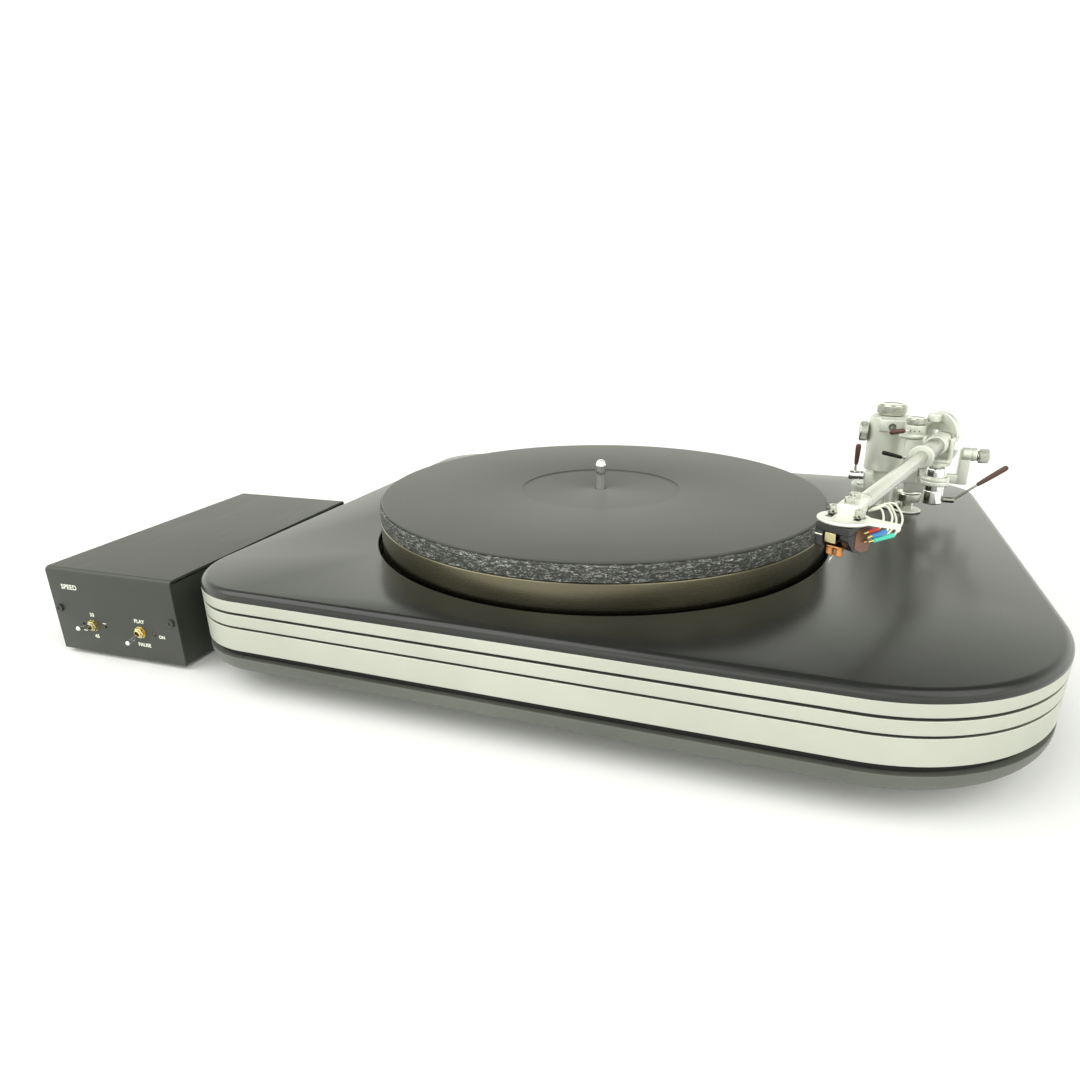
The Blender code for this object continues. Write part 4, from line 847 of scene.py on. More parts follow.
def label(name, words, size, middle, finish="ink"):
    # raised printing on the front panel, centred on (x, z)
    curve = bpy.data.curves.new(name, "FONT")
    curve.body = words
    curve.size = size
    curve.align_x = "CENTER"
    curve.align_y = "CENTER"
    curve.extrude = 0.03
    curve.offset = 0.11
    curve.space_character = 1.05
    writing = bpy.data.objects.new(name + "Curve", curve)
    bpy.context.scene.collection.objects.link(writing)
    bpy.context.view_layer.update()
    mesh = bpy.data.meshes.new_from_object(writing.evaluated_get(bpy.context.evaluated_depsgraph_get()))
    bpy.data.objects.remove(writing)
    standing = Matrix.Translation((middle[0], -0.03, middle[1])) @ Matrix.Rotation(math.pi / 2, 4, "X")
    mesh.transform(unitFrame @ standing)
    piece = bpy.data.objects.new(name, mesh)
    bpy.context.scene.collection.objects.link(piece)
    mesh.materials.clear()
    mesh.materials.append(finishes[finish])
    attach(piece, "plinth")


def makeUnit():
    low, high = nodeSpan("control_cover", unitFrame)
    width, depth, fold, sheet = unitSet["width"], unitSet["depth"], unitSet["fold"], unitSet["sheet"]
    inner = fold - sheet
    outside = [(0, low), *arcPoints((fold, high - fold), fold, 180, 90, 14),
               *arcPoints((depth - fold, high - fold), fold, 90, 0, 14), (depth, low)]
    inside = [(depth - sheet, low), *arcPoints((depth - fold, high - fold), inner, 0, 90, 14),
              *arcPoints((fold, high - fold), inner, 90, 180, 14), (sheet, low)]
    shape = bmesh.new()
    rings = loopsToShell(shape, [[(x, y, z) for y, z in outside + inside] for x in (0.3, width - 0.3)])
    easeEdges(shape, ringEdges(shape, rings[0]) + ringEdges(shape, rings[1]), 0.35)
    switchHeight, rear = unitSet["switchHeight"], unitSet["rearHeight"]
    inletX, leadX = unitSet["inletX"], unitSet["leadX"]
    cuts = []
    for x, radius in unitSet["frontHoles"]:
        hole = bmesh.new()
        bar(hole, (x, -2, switchHeight), (x, 4, switchHeight), radius, steps=32, soft=0)
        cuts.append(hole)
    window = bmesh.new()
    brick(window, (28.4, 8, 20.4), (inletX, depth - 1, rear), soft=0)
    cuts.append(window)
    leadHole = bmesh.new()
    bar(leadHole, (leadX, depth - 5, rear), (leadX, depth + 4, rear), 8.3, steps=48, soft=0)
    cuts.append(leadHole)
    makePiece("controlCoverLook", shape, "black_enamel", "plinth", ["control_cover"], unitFrame, cuts)

    left, right, roof = unitSet["sideInset"], width - unitSet["sideInset"], high - fold
    channel = [(left, low), (right, low), (right, roof), (right - sheet, roof),
               (right - sheet, low + sheet),
               (left + sheet, low + sheet), (left + sheet, roof), (left, roof)]
    shape = bmesh.new()
    loopsToShell(shape, [[(x, y, z) for x, z in channel] for y in (sheet + 0.2, depth - sheet - 0.2)])
    vents = []
    for row in range(9):
        slot = bmesh.new()
        brick(slot, (width + 20, 2.2, 22), (width / 2, 118 + row * 6, 30), soft=0)
        vents.append(slot)
    makePiece("controlChassisLook", shape, "black_enamel", "plinth", ["control_chassis"], unitFrame, vents)
    for name, y, way in (("frontScrews", -0.1, -1), ("rearScrews", depth + 0.1, 1)):
        screws(name, [(5, y, 32.3), (95, y, 32.3)], "black_enamel", "plinth", unitFrame,
               *unitSet["frontScrew"], (0, way, 0))
    for node in ("control_foot_front", "control_foot_rear"):
        box = localBox(node, unitFrame)
        middle = (Vector(box[0]) + Vector(box[1])) / 2
        shape = bmesh.new()
        brick(shape, (70, 10, 2.7), (width / 2, middle.y, 1.35), soft=0.5)
        makePiece(node.replace("_", "") + "Look", shape, "rubber", "plinth", [node], unitFrame)

    for name, finish, tilt in (("speed", "paleBrass", -13), ("play", "brass", 13)):
        x = unitSet[name + "X"]
        nut = bmesh.new()
        lathe(nut, softened([(0, 0), (3.3, 0), (3.7, 0.4), (3.7, 1.6), (3.3, 2.0), (0, 2.0)], 0.1), 6,
              turn=Matrix.Translation((x, -0.25, switchHeight)) @ Matrix.Rotation(math.pi / 2, 4, "X"))
        washer = [(4.0, 0.0), (4.0, 0.25), (2.5, 0.25), (2.5, 0.0)]
        lathe(nut, washer, 48, closed=True,
              turn=Matrix.Translation((x, 0, switchHeight)) @ Matrix.Rotation(math.pi / 2, 4, "X"))
        bore = bmesh.new()
        bar(bore, (x, -6, switchHeight), (x, 3, switchHeight), 1.9, steps=32, soft=0)
        makePiece(name + "SwitchNut", nut, finish, "plinth", [name + "_switch"], unitFrame, [bore])
        thread = bmesh.new()
        crest = [(2.35 if i % 2 else 2.1, 3.2 - i * 0.22) for i in range(31)]
        lathe(thread, crest + [(1.8, crest[-1][1]), (1.8, 3.2)], 40, closed=True,
              turn=Matrix.Translation((x, 0, switchHeight)) @ Matrix.Rotation(math.pi / 2, 4, "X"))
        makePiece(name + "SwitchBush", thread, finish, "plinth", place=unitFrame)
        behind = bmesh.new()
        brick(behind, (8, 12, 13), (x, 9.4, switchHeight), soft=0.5)
        makePiece(name + "SwitchBody", behind, "cartridge_black", "plinth", place=unitFrame)
        stick = bmesh.new()
        rod = [(0, 12.8), (0.9, 12.7), (1.45, 12.1), (1.6, 11.2), (1.35, 10.3), (0.85, 2.0), (1.5, 0.9),
               (1.5, -0.9), (0, -1.5)]
        turn = (Matrix.Translation((x, unitSet["pivotDepth"], switchHeight))
                @ Matrix.Rotation(math.radians(tilt) + math.pi / 2, 4, "X"))
        lathe(stick, softened(rod, 0.4, 4), 32, turn=turn)
        makePiece(name + "ToggleLook", stick, "chrome", name + "_lever", [name + "_toggle"], unitFrame)
    lens = bmesh.new()
    lathe(lens, softened([(0, 0.7), (0.9, 0.5), (1.4, -0.2), (1.4, -4.5), (0, -4.5)], 0.4, 4), 32,
          turn=Matrix.Translation((unitSet["lampX"], 0,
                                   switchHeight)) @ Matrix.Rotation(math.pi / 2, 4, "X"))
    makePiece("powerLedLook", lens, "lamp_lens", "plinth", ["power_led"], unitFrame)
    dashes = bmesh.new()
    for x, z in ((22.4, 18.2), (39.8, 25.0)):
        brick(dashes, (2.6, 0.06, 0.6), (x, -0.03, z), soft=0)
    makePiece("panelDashes", dashes, "ink", "plinth", place=unitFrame)
    label("speedLabel", "SPEED", 4.6, (17.0, 47.9))
    label("fastLabel", "33", 3.4, (31.0, 30.1))
    label("slowLabel", "45", 3.4, (31.2, 14.9))
    label("playLabel", "PLAY", 3.4, (69.4, 30.2))
    label("pauseLabel", "PAUSE", 3.4, (69.9, 13.8))
    label("powerLabel", "ON", 2.9, (85.4, 21.2))

    inlet = bmesh.new()
    brick(inlet, (27.6, 16, 19.6), (inletX, depth - 8, rear), soft=0.8)
    brick(inlet, (30.4, 1.6, 22.4), (inletX, depth + 0.5, rear), soft=0.6)
    mouth = bmesh.new()
    brick(mouth, (22.4, 16, 14.4), (inletX, depth - 5, rear), soft=0)
    makePiece("mainsInletLook", inlet, "cartridge_black", "plinth", ["mains_inlet"], unitFrame, [mouth])
    pins = bmesh.new()
    for x, z in ((inletX - 6.5, rear - 1.5), (inletX, rear + 1.5), (inletX + 6.5, rear - 1.5)):
        brick(pins, (2.0, 11, 4.4), (x, depth - 7.6, z), soft=0.5)
    makePiece("mainsInletPins", pins, "brass", "plinth", place=unitFrame)
    socket = bmesh.new()
    bar(socket, (leadX, depth - 14, rear), (leadX, depth + 0.5, rear), 8.0, steps=64, soft=0.5)
    recess = bmesh.new()
    bar(recess, (leadX, depth - 9, rear), (leadX, depth + 4, rear), 6.0, steps=64, soft=0)
    makePiece("leadSocketLook", socket, "chrome", "plinth", ["lead_socket"], unitFrame, [recess])
    pins = bmesh.new()
    for i in range(5):
        angle = math.radians(20 + 35 * i)
        x, z = leadX + 3.6 * math.cos(angle), rear + 3.6 * math.sin(angle)
        bar(pins, (x, depth - 10, z), (x, depth - 2, z), 0.6, steps=16, soft=0.2)
    makePiece("leadSocketPins", pins, "gold", "plinth", place=unitFrame)


makeUnit()
print("control unit done")


# tonearm: the places its parts are drawn in

armAxis = jointAxis["arm_tilt"].normalized()
armAxis = armAxis if armAxis.x > 0 else -armAxis  # the tilt's own sign doesn't turn the drawing round
armSet = {"turn": math.atan2(armAxis.y, armAxis.x), "rise": math.radians(-1.2), "headCentre": -231.0,
          "roof": -1.6,
          "headTurn": math.radians(-16.0)}
pivotPlace = jointPlace["arm_tilt"]
swingFrame = Matrix.Translation(pivotPlace) @ Matrix.Rotation(armSet["turn"], 4, "Z") @ toMetres
armFrame = swingFrame @ Matrix.Rotation(armSet["rise"], 4, "X")
headFrame = (armFrame @ Matrix.Translation((0, armSet["headCentre"], armSet["roof"]))
             @ Matrix.Rotation(armSet["headTurn"], 4, "Z"))
alongX = Matrix.Rotation(math.pi / 2, 4, "Y")
alongY = Matrix.Rotation(-math.pi / 2, 4, "X")


def knobFrame(joint, height=None):
    # a knob's own place: its axis is Z and starts at the joint
    at = jointPlace[joint].copy()
    if height is not None:
        at.z = height
    return Matrix.Translation(at) @ toMetres


# tonearm base and tower

base = {"disc": (185.0, 125.0), "tower": (192.4, 132.0), "nut": (209.3, 104.0), "ring": (205.6, 92.0),
        "cue": (218.5, 60.0), "bracketY": 120.0, "bracketHeight": 41.8}


def makeArmBase():
    x, y = base["tower"]
    discX, discY = base["disc"]
    nutX, nutY = base["nut"]
    shape = bmesh.new()
    disc = [(0, 15), (13.6, 15), (15, 13.6), (15, 6.2), (14.7, 6.0), (14.7, 5.4), (15, 5.2), (15, 0.8),
            (14.6, 0.3), (0, 0.3)]
    lathe(shape, softened(disc, 0.3), 96, turn=Matrix.Translation((discX, discY, 0)))
    bar(shape, (x, y, 2), (x, y, 50), 10, steps=72)
    flange = [(0, 1.8), (9.4, 1.8), (10, 1.3), (10, 0.3), (0, 0.3)]
    lathe(shape, softened(flange, 0.3), 72, turn=Matrix.Translation((nutX, nutY, 0)))
    bar(shape, (197.8, 111, 1), (197.8, 111, 16), 3.9, steps=48, soft=0.8)
    brick(shape, (24, 20, 1.5), (199, 113, 1.05), math.radians(-40), 0.4)
    brick(shape, (6, 9, 14), (180.9, 113.6, 19), soft=0.8)
    makePiece("armBaseLook", shape, "satin_silver", "plinth", ["arm_base"], deckFrame)
    thread = bmesh.new()
    crest = [(4.0 if i % 2 else 3.5, 14.6 - 0.35 * i) for i in range(39)]
    lathe(thread, [(0, 14.6), *crest, (0, crest[-1][1])], 48, turn=Matrix.Translation((nutX, nutY, 0)))
    makePiece("heightScrewThread", thread, "steel", "plinth", place=deckFrame, sharp=50)
    nut = bmesh.new()
    ring = [(4.3, 14.5), (7.7, 14.5), (8.4, 13.8), (8.4, 8.6), (7.9, 8), (4.3, 8)]
    lathe(nut, softened(ring, 0.25, closed=True), 96, closed=True)
    makePiece("heightNutLook", nut, "knobSteel", "plinth", ["height_nut"],
              deckFrame @ Matrix.Translation((nutX, nutY, 0)))
    spots = [(discX - 9.4, discY - 8.2, 14.6), (195.5, 108.5, 1.7), (206.5, 117.0, 1.7)]
    screws("armBaseScrews", spots, "chrome", "plinth", deckFrame, 1.7, 1.2, 0.9, slot="steel")


def makeTower():
    x, y = base["tower"]
    shape = bmesh.new()
    tower = [(0, 66.5), (13.2, 66.5), (14.8, 65.2), (14.8, 25.4),
             (14.2, 24.6), (10.4, 24.6), (10.4, 58), (0, 58)]
    lathe(shape, softened(tower, 0.5, 4), 128, turn=Matrix.Translation((x, y, 0)))
    makePiece("heightTowerLook", shape, "satin_silver", "arm_carriage", ["height_tower"], deckFrame)

    ringX, ringY = base["ring"]
    shape = bmesh.new()
    brick(shape, (24, 16, 9.5), (195.5, 118, 61.4), soft=1.0)
    brick(shape, (9.0, 22, 5.0), (204.6, 104, 63.4), soft=0.8)
    ring = [(0, 66.5), (6.3, 66.5), (6.9, 65.9), (6.9, 60.6), (6.6, 60.4), (6.6, 59.9), (6.9, 59.8),
            (6.9, 58), (0, 58)]
    lathe(shape, softened(ring, 0.25), 96, turn=Matrix.Translation((ringX, ringY, 0)))
    lip = [(0, 59.7), (8.3, 59.7), (8.8, 59.2), (8.8, 57.7), (8.4, 57.2), (0, 57.2)]
    lathe(shape, softened(lip, 0.3), 96, turn=Matrix.Translation((ringX - 1.6, ringY, 0)))
    seat, hole = bmesh.new(), bmesh.new()
    bar(seat, (x, y, 50), (x, y, 80), 15.1, steps=96, soft=0)
    bar(hole, (192.2, 105, 60.6), (192.2, 116, 60.6), 2.8, steps=40, soft=0)
    makePiece("carriageBlockLook", shape, "satin_silver", "arm_carriage", ["carriage_block"],
              deckFrame, [seat, hole])
    screws("blockScrew", [(192.2, 115.9, 60.6)], "smoked", "arm_carriage", deckFrame,
           2.5, 0.6, 1.4, (0, -1, 0), slot="steel")
    screws("blockTopScrews", [(202.4, 116.0, 66.0)], "chrome", "arm_carriage", deckFrame,
           1.6, 0.9, 0.85, slot="steel")
    dots = bmesh.new()
    for angle in (-125, -100, -75):
        out = Vector((math.cos(math.radians(angle)), math.sin(math.radians(angle)), 0))
        spot = Vector((ringX, ringY, 62.6)) + out * 6.85
        bar(dots, spot - out * 0.6, spot + out * 0.12, 0.45, steps=16, soft=0.05)
    makePiece("ringMarks", dots, "darkMarksAndPaintedShade", "arm_carriage", place=deckFrame)


yokePlate = {"place": (222.5, 96.8, 56.8), "turn": math.radians(34.3), "radius": 18.7, "half": 1.9}


def makeBearingFrame():
    plateFrame = Matrix.Translation(yokePlate["place"]) @ Matrix.Rotation(yokePlate["turn"], 4, "Z")
    radius, half = yokePlate["radius"], yokePlate["half"]
    shape = bmesh.new()
    disc = [(0, half - 0.7), (11.2, half - 0.7), (11.8, half), (radius - 0.6, half), (radius, half - 0.6),
            (radius, 0.6 - half),
            (radius - 0.6, -half), (11.8, -half), (11.2, 0.7 - half), (0, 0.7 - half)]
    lathe(shape, softened(disc, 0.3), 128, turn=plateFrame @ alongX)
    brick(shape, (24, 14, 19), (216, 99, 26.5), soft=1.2)
    brick(shape, (5, 11, 18), (217.5, 101, 38), soft=0.6)
    brick(shape, (11, 8, 32), (205.5, 90, 41), soft=0.8)
    brick(shape, (9, 34, 5.4), (216, 79, 32.2), soft=0.8)
    bar(shape, (219.4, 76, 30), (219.4, 76, 41.2), 6, steps=72, soft=0.5)
    cueX, cueY = base["cue"]
    collar = [(0, 37.3), (8.0, 37.3), (8.7, 36.6), (8.7, 35.0), (8.45, 34.8), (8.45, 34.4), (8.7, 34.2),
              (8.7, 32.1), (8.1, 31.5),
              (0, 31.5)]
    lathe(shape, softened(collar, 0.25), 96, turn=Matrix.Translation((cueX, cueY, 0)))
    window, bore, seat = bmesh.new(), bmesh.new(), bmesh.new()
    brick(window, (12, 36, 11), plateFrame @ Vector((0, -12, 0)), yokePlate["turn"], soft=0)
    bar(bore, (cueX, cueY, 20), (cueX, cueY, 40), 6.5, steps=72, soft=0)
    bar(seat, (219.4, 76, 34.6), (219.4, 76, 44), 3.3, steps=48, soft=0)
    makePiece("bearingFrameLook", shape, "satin_silver", "arm_carriage", ["bearing_frame"], deckFrame,
              [window, bore, seat])
    shelf = bmesh.new()
    frontFace = -half - 0.6
    brick(shelf, (2.6, 30, 2.2), (frontFace, 1.0, -3.4), soft=0.5)
    brick(shelf, (1.8, 9, 3.0), (frontFace + 0.2, -9.5, -6.6), soft=0.5)
    makePiece("yokeShelf", shelf, "satin_silver", "arm_carriage", place=deckFrame @ plateFrame)
    # painted shade: thin near-black strips on the disc under the shelf and beside its lower block stand in for
    # their shadows
    dark = bmesh.new()
    brick(dark, (0.3, 26, 0.7), (-half + 0.02, 1.0, -1.7), soft=0)
    brick(dark, (0.4, 6.0, 1.1), (frontFace - 1.25, -8.6, -3.6), soft=0)
    makePiece("yokeShadowLines", dark, "darkMarksAndPaintedShade", "arm_carriage", place=deckFrame @ plateFrame)
    cap = bmesh.new()
    profile = [(0, 17.4), (3.9, 17.4), (4.6, 16.6), (4.6, 12.2), (4.1, 11.6), (0, 11.6)]
    lathe(cap, softened(profile, 0.5, 4), 64, turn=Matrix.Translation((-5.4, 1.6, 0)))
    brick(cap, (6, 6, 3), (-3.6, 1.6, 13.4), soft=0.4)
    makePiece("yokeCap", cap, "satin_silver", "arm_carriage", place=deckFrame @ plateFrame)
    screws("frameScrews", [(224.0, 93.5, 35.6), (208.6, 104.0, 35.6)], "chrome", "arm_carriage",
           deckFrame, 1.8, 1.2, 0.95, slot="steel")


def makeCue():
    cueX, cueY = base["cue"]
    place = deckFrame @ Matrix.Translation((cueX, cueY, 0))
    shape = bmesh.new()
    body = [(3.1, 44), (4.9, 44), (6.0, 43.0), (6.2, 42.4), (6.2, 28.4), (6.0, 28.2), (6.0, 27.6),
            (6.2, 27.4), (6.2, 19.2),
            (5.6, 18.5), (0, 18.5), (0, 34), (3.1, 34)]
    lathe(shape, softened(body, 0.3, closed=False) + [(3.1, 44)], 96)
    makePiece("cueCylinderLook", shape, "chrome", "arm_carriage", ["cue_cylinder"], place)
    shape = bmesh.new()
    bar(shape, (0, 0, 35.8), (0, 0, 48.2), 2.7, steps=64, soft=0.5)
    turn = armSet["turn"]
    brick(shape, (24, 5, 1.8), (-6, -3, 48.4), turn, 0.5)
    across = Matrix.Rotation(turn, 4, "Z")
    for i in range(13):
        spot = across @ Vector((-11 + 1.8 * i, 0, 0)) + Vector((-6, -3, 49.3))
        side = across @ Vector((0, 2.3, 0))
        bar(shape, spot - side, spot + side, 0.42, steps=12, soft=0.1)
    makePiece("cuePlatformLook", shape, "satin_silver", "cueing_lift", ["cue_platform"], place)
    leverPlace = knobFrame("cue_lever_turn")
    shape = bmesh.new()
    stub = [(0, 14.2), (1.2, 14.1), (1.9, 13.4), (2.0, 12.6), (2.0, 8.4), (1.8, 8.2), (1.8, 7.8),
            (2.0, 7.6), (2.0, 6.6), (0, 6.6)]
    lathe(shape, softened(stub, 0.3, 4), 48, turn=alongX)
    bar(shape, (12.4, 0, -0.3), (30, 0, 15.2), 0.8, steps=24)
    makePiece("cueLeverStem", shape, "smoked", "cueing_lever", place=leverPlace)
    grip = bmesh.new()
    long = (Vector((41.5, 0, 24.9)) - Vector((25.5, 0, 11.4))).length
    outline = [(0, long), (1.1, long - 0.1), (1.75, long - 1.2), (1.85, long - 4), (1.6, 6), (1.25, 1.0),
               (0.9, 0), (0, 0)]
    lathe(grip, softened(outline, 0.8, 5), 48, turn=towards((25.5, 0, 11.4), (41.5, 0, 24.9)))
    makePiece("cueLeverLook", grip, "rosewood", "cueing_lever", ["cue_lever"], leverPlace)


def makeBracket():
    y, height = base["bracketY"], base["bracketHeight"]
    shape = bmesh.new()
    brick(shape, (20, 5.6, 7), (239, y, 23), soft=0.8)
    brick(shape, (7.5, 6, 26.3), (245.3, y, 32.4), soft=0.9)
    brick(shape, (6.4, 18, 6.8), (231.5, y - 8, 23.1), soft=0.8)
    barrel = [(0, 9.9), (4.4, 9.9), (4.9, 9.4), (4.9, 6.4), (4.6, 6.2), (4.6, 5.6), (4.9, 5.4), (4.9, 0.5),
              (4.4, 0), (0, 0)]
    lathe(shape, softened(barrel, 0.25), 72, turn=Matrix.Translation((242.4, y, height)) @ alongX)
    makePiece("sideBracketLook", shape, "satin_silver", "arm_carriage", ["side_bracket"], deckFrame)
    shape = bmesh.new()
    knob = [(0, 8), (3.9, 8), (4.3, 7.6), (4.95, 7.2), (4.95, 1.4), (4.4, 1.0), (3.6, 0.8), (3.6, 0),
            (0, 0)]
    lathe(shape, softened(knob, 0.25), 72)
    makePiece("biasKnobLook", shape, "knobSteel", "bias_screw", ["bias_knob"], knobPlaceX("bias_knob", 1),
              trees=ribbed("knobSteel", 64, 4.93, 0.2, 5.2, 4.3))


def knobPlaceX(node, side):
    # a knob that points along X, on the end of its own box
    low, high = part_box(node)
    middle = (low + high) / 2
    start = Vector((low.x if side > 0 else high.x, middle.y, middle.z))
    return Matrix.Translation(start) @ Matrix.Rotation(side * math.pi / 2, 4, "Y") @ toMetres


def makeKnobs():
    low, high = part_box("height_knob")
    tall = (high.z - low.z) / mm
    shape = bmesh.new()
    knob = [(0, tall - 0.35), (7.6, tall - 0.35), (8.2, tall), (9.6, tall), (10.45, tall - 0.9),
            (10.45, 1.5), (10.0, 1.0), (9.2, 0.9), (9.2, 0), (0, 0)]
    lathe(shape, softened(knob, 0.25), 128)
    makePiece("heightKnobLook", shape, "knobSteel", "height_dial", ["height_knob"],
              knobFrame("height_turn", low.z),
              trees=ribbed("knobSteel", 120, 10.4, 0.2, tall - 2.9, (tall + 0.6) / 2))
    low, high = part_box("azimuth_knob")
    tall = (high.z - low.z) / mm
    shape = bmesh.new()
    knob = [(0, tall - 0.3), (4.6, tall - 0.3), (5.0, tall), (6.3, tall), (6.8, tall - 0.5), (6.8, 0.7),
            (6.3, 0), (0, 0)]
    lathe(shape, softened(knob, 0.2), 96)
    makePiece("azimuthKnobLook", shape, "knobSteel", "azimuth_dial", ["azimuth_knob"],
              knobFrame("azimuth_turn", low.z),
              trees=ribbed("knobSteel", 88, 6.76, 0.17, tall - 1.5, tall / 2))
    shape = bmesh.new()
    knob = [(0, 5.7), (5.2, 5.7), (5.6, 6.0), (6.7, 6.0), (7.3, 5.4), (7.3, 0.6), (6.9, 0), (0, 0)]
    lathe(shape, softened(knob, 0.25), 96)
    makePiece("clampKnobLook", shape, "knobSteel", "clamp_screw", ["clamp_knob"],
              knobPlaceX("clamp_knob", -1),
              trees=ribbed("knobSteel", 80, 7.26, 0.19, 4.0, 3.0))
    lockPlace = knobFrame("tower_lock_turn")
    shape = bmesh.new()
    barrel = [(0, 5.5), (2.8, 5.5), (3.4, 4.9), (3.4, 2.6), (3.15, 2.4), (3.15, 1.9), (3.4, 1.7),
              (3.4, -4.9), (2.8, -5.5), (0, -5.5)]
    lathe(shape, softened(barrel, 0.3), 64, turn=alongX)
    bar(shape, (-1, 0, 0), (-1, 0, 12), 1.0, steps=24)
    makePiece("towerLockBarrel", shape, "chrome", "tower_lock", place=lockPlace)
    grip = bmesh.new()
    outline = [(0, 16), (1.3, 15.9), (1.95, 14.8), (2.0, 12.5), (1.7, 4), (1.35, 0.8), (1.0, 0), (0, 0)]
    lathe(grip, softened(outline, 0.7, 5), 48, turn=Matrix.Translation((-1, 0, 8)))
    makePiece("towerLockLook", grip, "rosewood", "tower_lock", ["tower_lock_lever"], lockPlace)

    for node, joint, start, bend, end, thin, thick, finish in (
            ("azimuth_lever", "azimuth_lock_turn", (-4.6, -5.9, 0), (-7.5, -8.6, 0), (-17.6, -13.4, -0.8),
             0.9, 1.9, "rosewood"),
            ("rest_lever", "rest_lock_turn", (0, 0, 0), (-2, -1, 0), (-16, -3, 3.4), 1.2, 1.5, "rubber")):
        place = knobFrame(joint)
        stem = bmesh.new()
        bar(stem, start, Vector(bend).lerp(Vector(end), 0.3), thin, steps=24)
        makePiece(node.replace("_", "") + "Stem", stem, "chrome", joint.replace("_turn", ""), place=place)
        long = (Vector(end) - Vector(bend)).length
        grip = bmesh.new()
        outline = [(0, long), (thick * 0.62, long - 0.1), (thick, long - 1.0), (thick, long - 3),
                   (thick * 0.82, 1.0),
                   (thick * 0.5, 0), (0, 0)]
        lathe(grip, softened(outline, 0.7, 5), 40, turn=towards(bend, end))
        makePiece(node.replace("_", "") + "Look", grip, finish, joint.replace("_turn", ""), [node], place)


makeArmBase()
makeTower()
makeBearingFrame()
makeCue()
makeBracket()
makeKnobs()
print("tonearm base done")


# moving arm

arm = {"neck": 5.8, "tube": 4.2, "tubeEnd": -209.8, "collar": (-59.0, -62.0), "grooveTurns": (-28, -42)}


def makeArm():
    shape = bmesh.new()
    yoke = [(0, -10.7), (8.7, -10.7), (9.3, -11.3), (9.3, -14.4), (8.7, -15), (0, -15)]
    lathe(shape, softened(yoke, 0.3), 96)
    for side in (-1, 1):
        brick(shape, (2.2, 8, 18.4), (side * 8.5, 0, -4.8), soft=0.6)
    bar(shape, (0, 0, -21.2), (0, 0, -12), 2.9, steps=48)
    hole = bmesh.new()
    bar(hole, (-15, 0, 0), (15, 0, 0), 2.1, steps=32, soft=0)
    makePiece("armYokeLook", shape, "satin_silver", "arm_swivel", ["arm_yoke"], swingFrame, [hole])

    near, far = arm["collar"]
    neck, thin = arm["neck"], arm["tube"]
    shape = bmesh.new()
    hub = [(0, 48), (2.8, 48), (3.2, 47.6), (3.2, 7.2), (6.4, 6.5), (7, 5.9), (7, -9.4), (6.6, -10),
           (6.4, -11), (6.4, -13.6),
           (6.0, -14), (0, -14)]
    lathe(shape, softened(hub, 0.3), 96, turn=alongY)
    ring = [(0, near - 0.2), (6.9, near - 0.2), (7.3, near - 0.6), (7.3, far + 0.4), (6.9, far), (0, far)]
    lathe(shape, softened(ring, 0.3), 96, turn=alongY)
    bar(shape, (-9.4, 0, 0), (9.4, 0, 0), 1.6, steps=32)
    makePiece("armHub", shape, "satin_silver", "arm_wand", place=armFrame)
    shape = bmesh.new()
    lathe(shape, softened([(0, -13.8), (neck, -13.8), (neck, near + 0.4), (0, near + 0.4)], 0.2), 96,
          turn=alongY)
    makePiece("armNeck", shape, "smoked", "arm_wand", place=armFrame)
    shape = bmesh.new()
    end = arm["tubeEnd"]
    tube = [(0, far + 0.2), (thin, far + 0.2), (thin, end + 12), (thin - 0.12, end + 11.8),
            (thin - 0.12, end + 11.4), (thin, end + 11.2),
            (thin, end + 0.5), (thin - 0.5, end), (0, end)]
    lathe(shape, softened(tube, 0.15), 96, turn=alongY)
    cutters = []
    for angle in arm["grooveTurns"]:
        groove = bmesh.new()
        way = Vector((math.cos(math.radians(angle)), 0, math.sin(math.radians(angle)))) * (thin + 0.05)
        bar(groove, (way.x, far - 4, way.z), (way.x, end + 16, way.z), 0.28, steps=12, soft=0)
        cutters.append(groove)
    makePiece("armTubeLook", shape, "tubeSteel", "arm_wand", ["arm_tube"], armFrame, cutters)
    shape = bmesh.new()
    weight = [(3.5, 49.5), (6.6, 49.5), (7.2, 48.9), (7.2, 46.4), (6.9, 46.2), (6.9, 45.6), (7.2, 45.4),
              (7.2, 35.6), (6.9, 35.4),
              (6.9, 34.8), (7.2, 34.6), (7.2, 32.1), (6.6, 31.5), (3.5, 31.5)]
    lathe(shape, softened(weight, 0.2, closed=True), 96, closed=True)
    makePiece("counterweightLook", shape, "steel", "balance_weight", ["counterweight"], armFrame @ alongY,
              trees=ribbed("steel", 84, 7.16, 0.18, 9.0, 40.5))


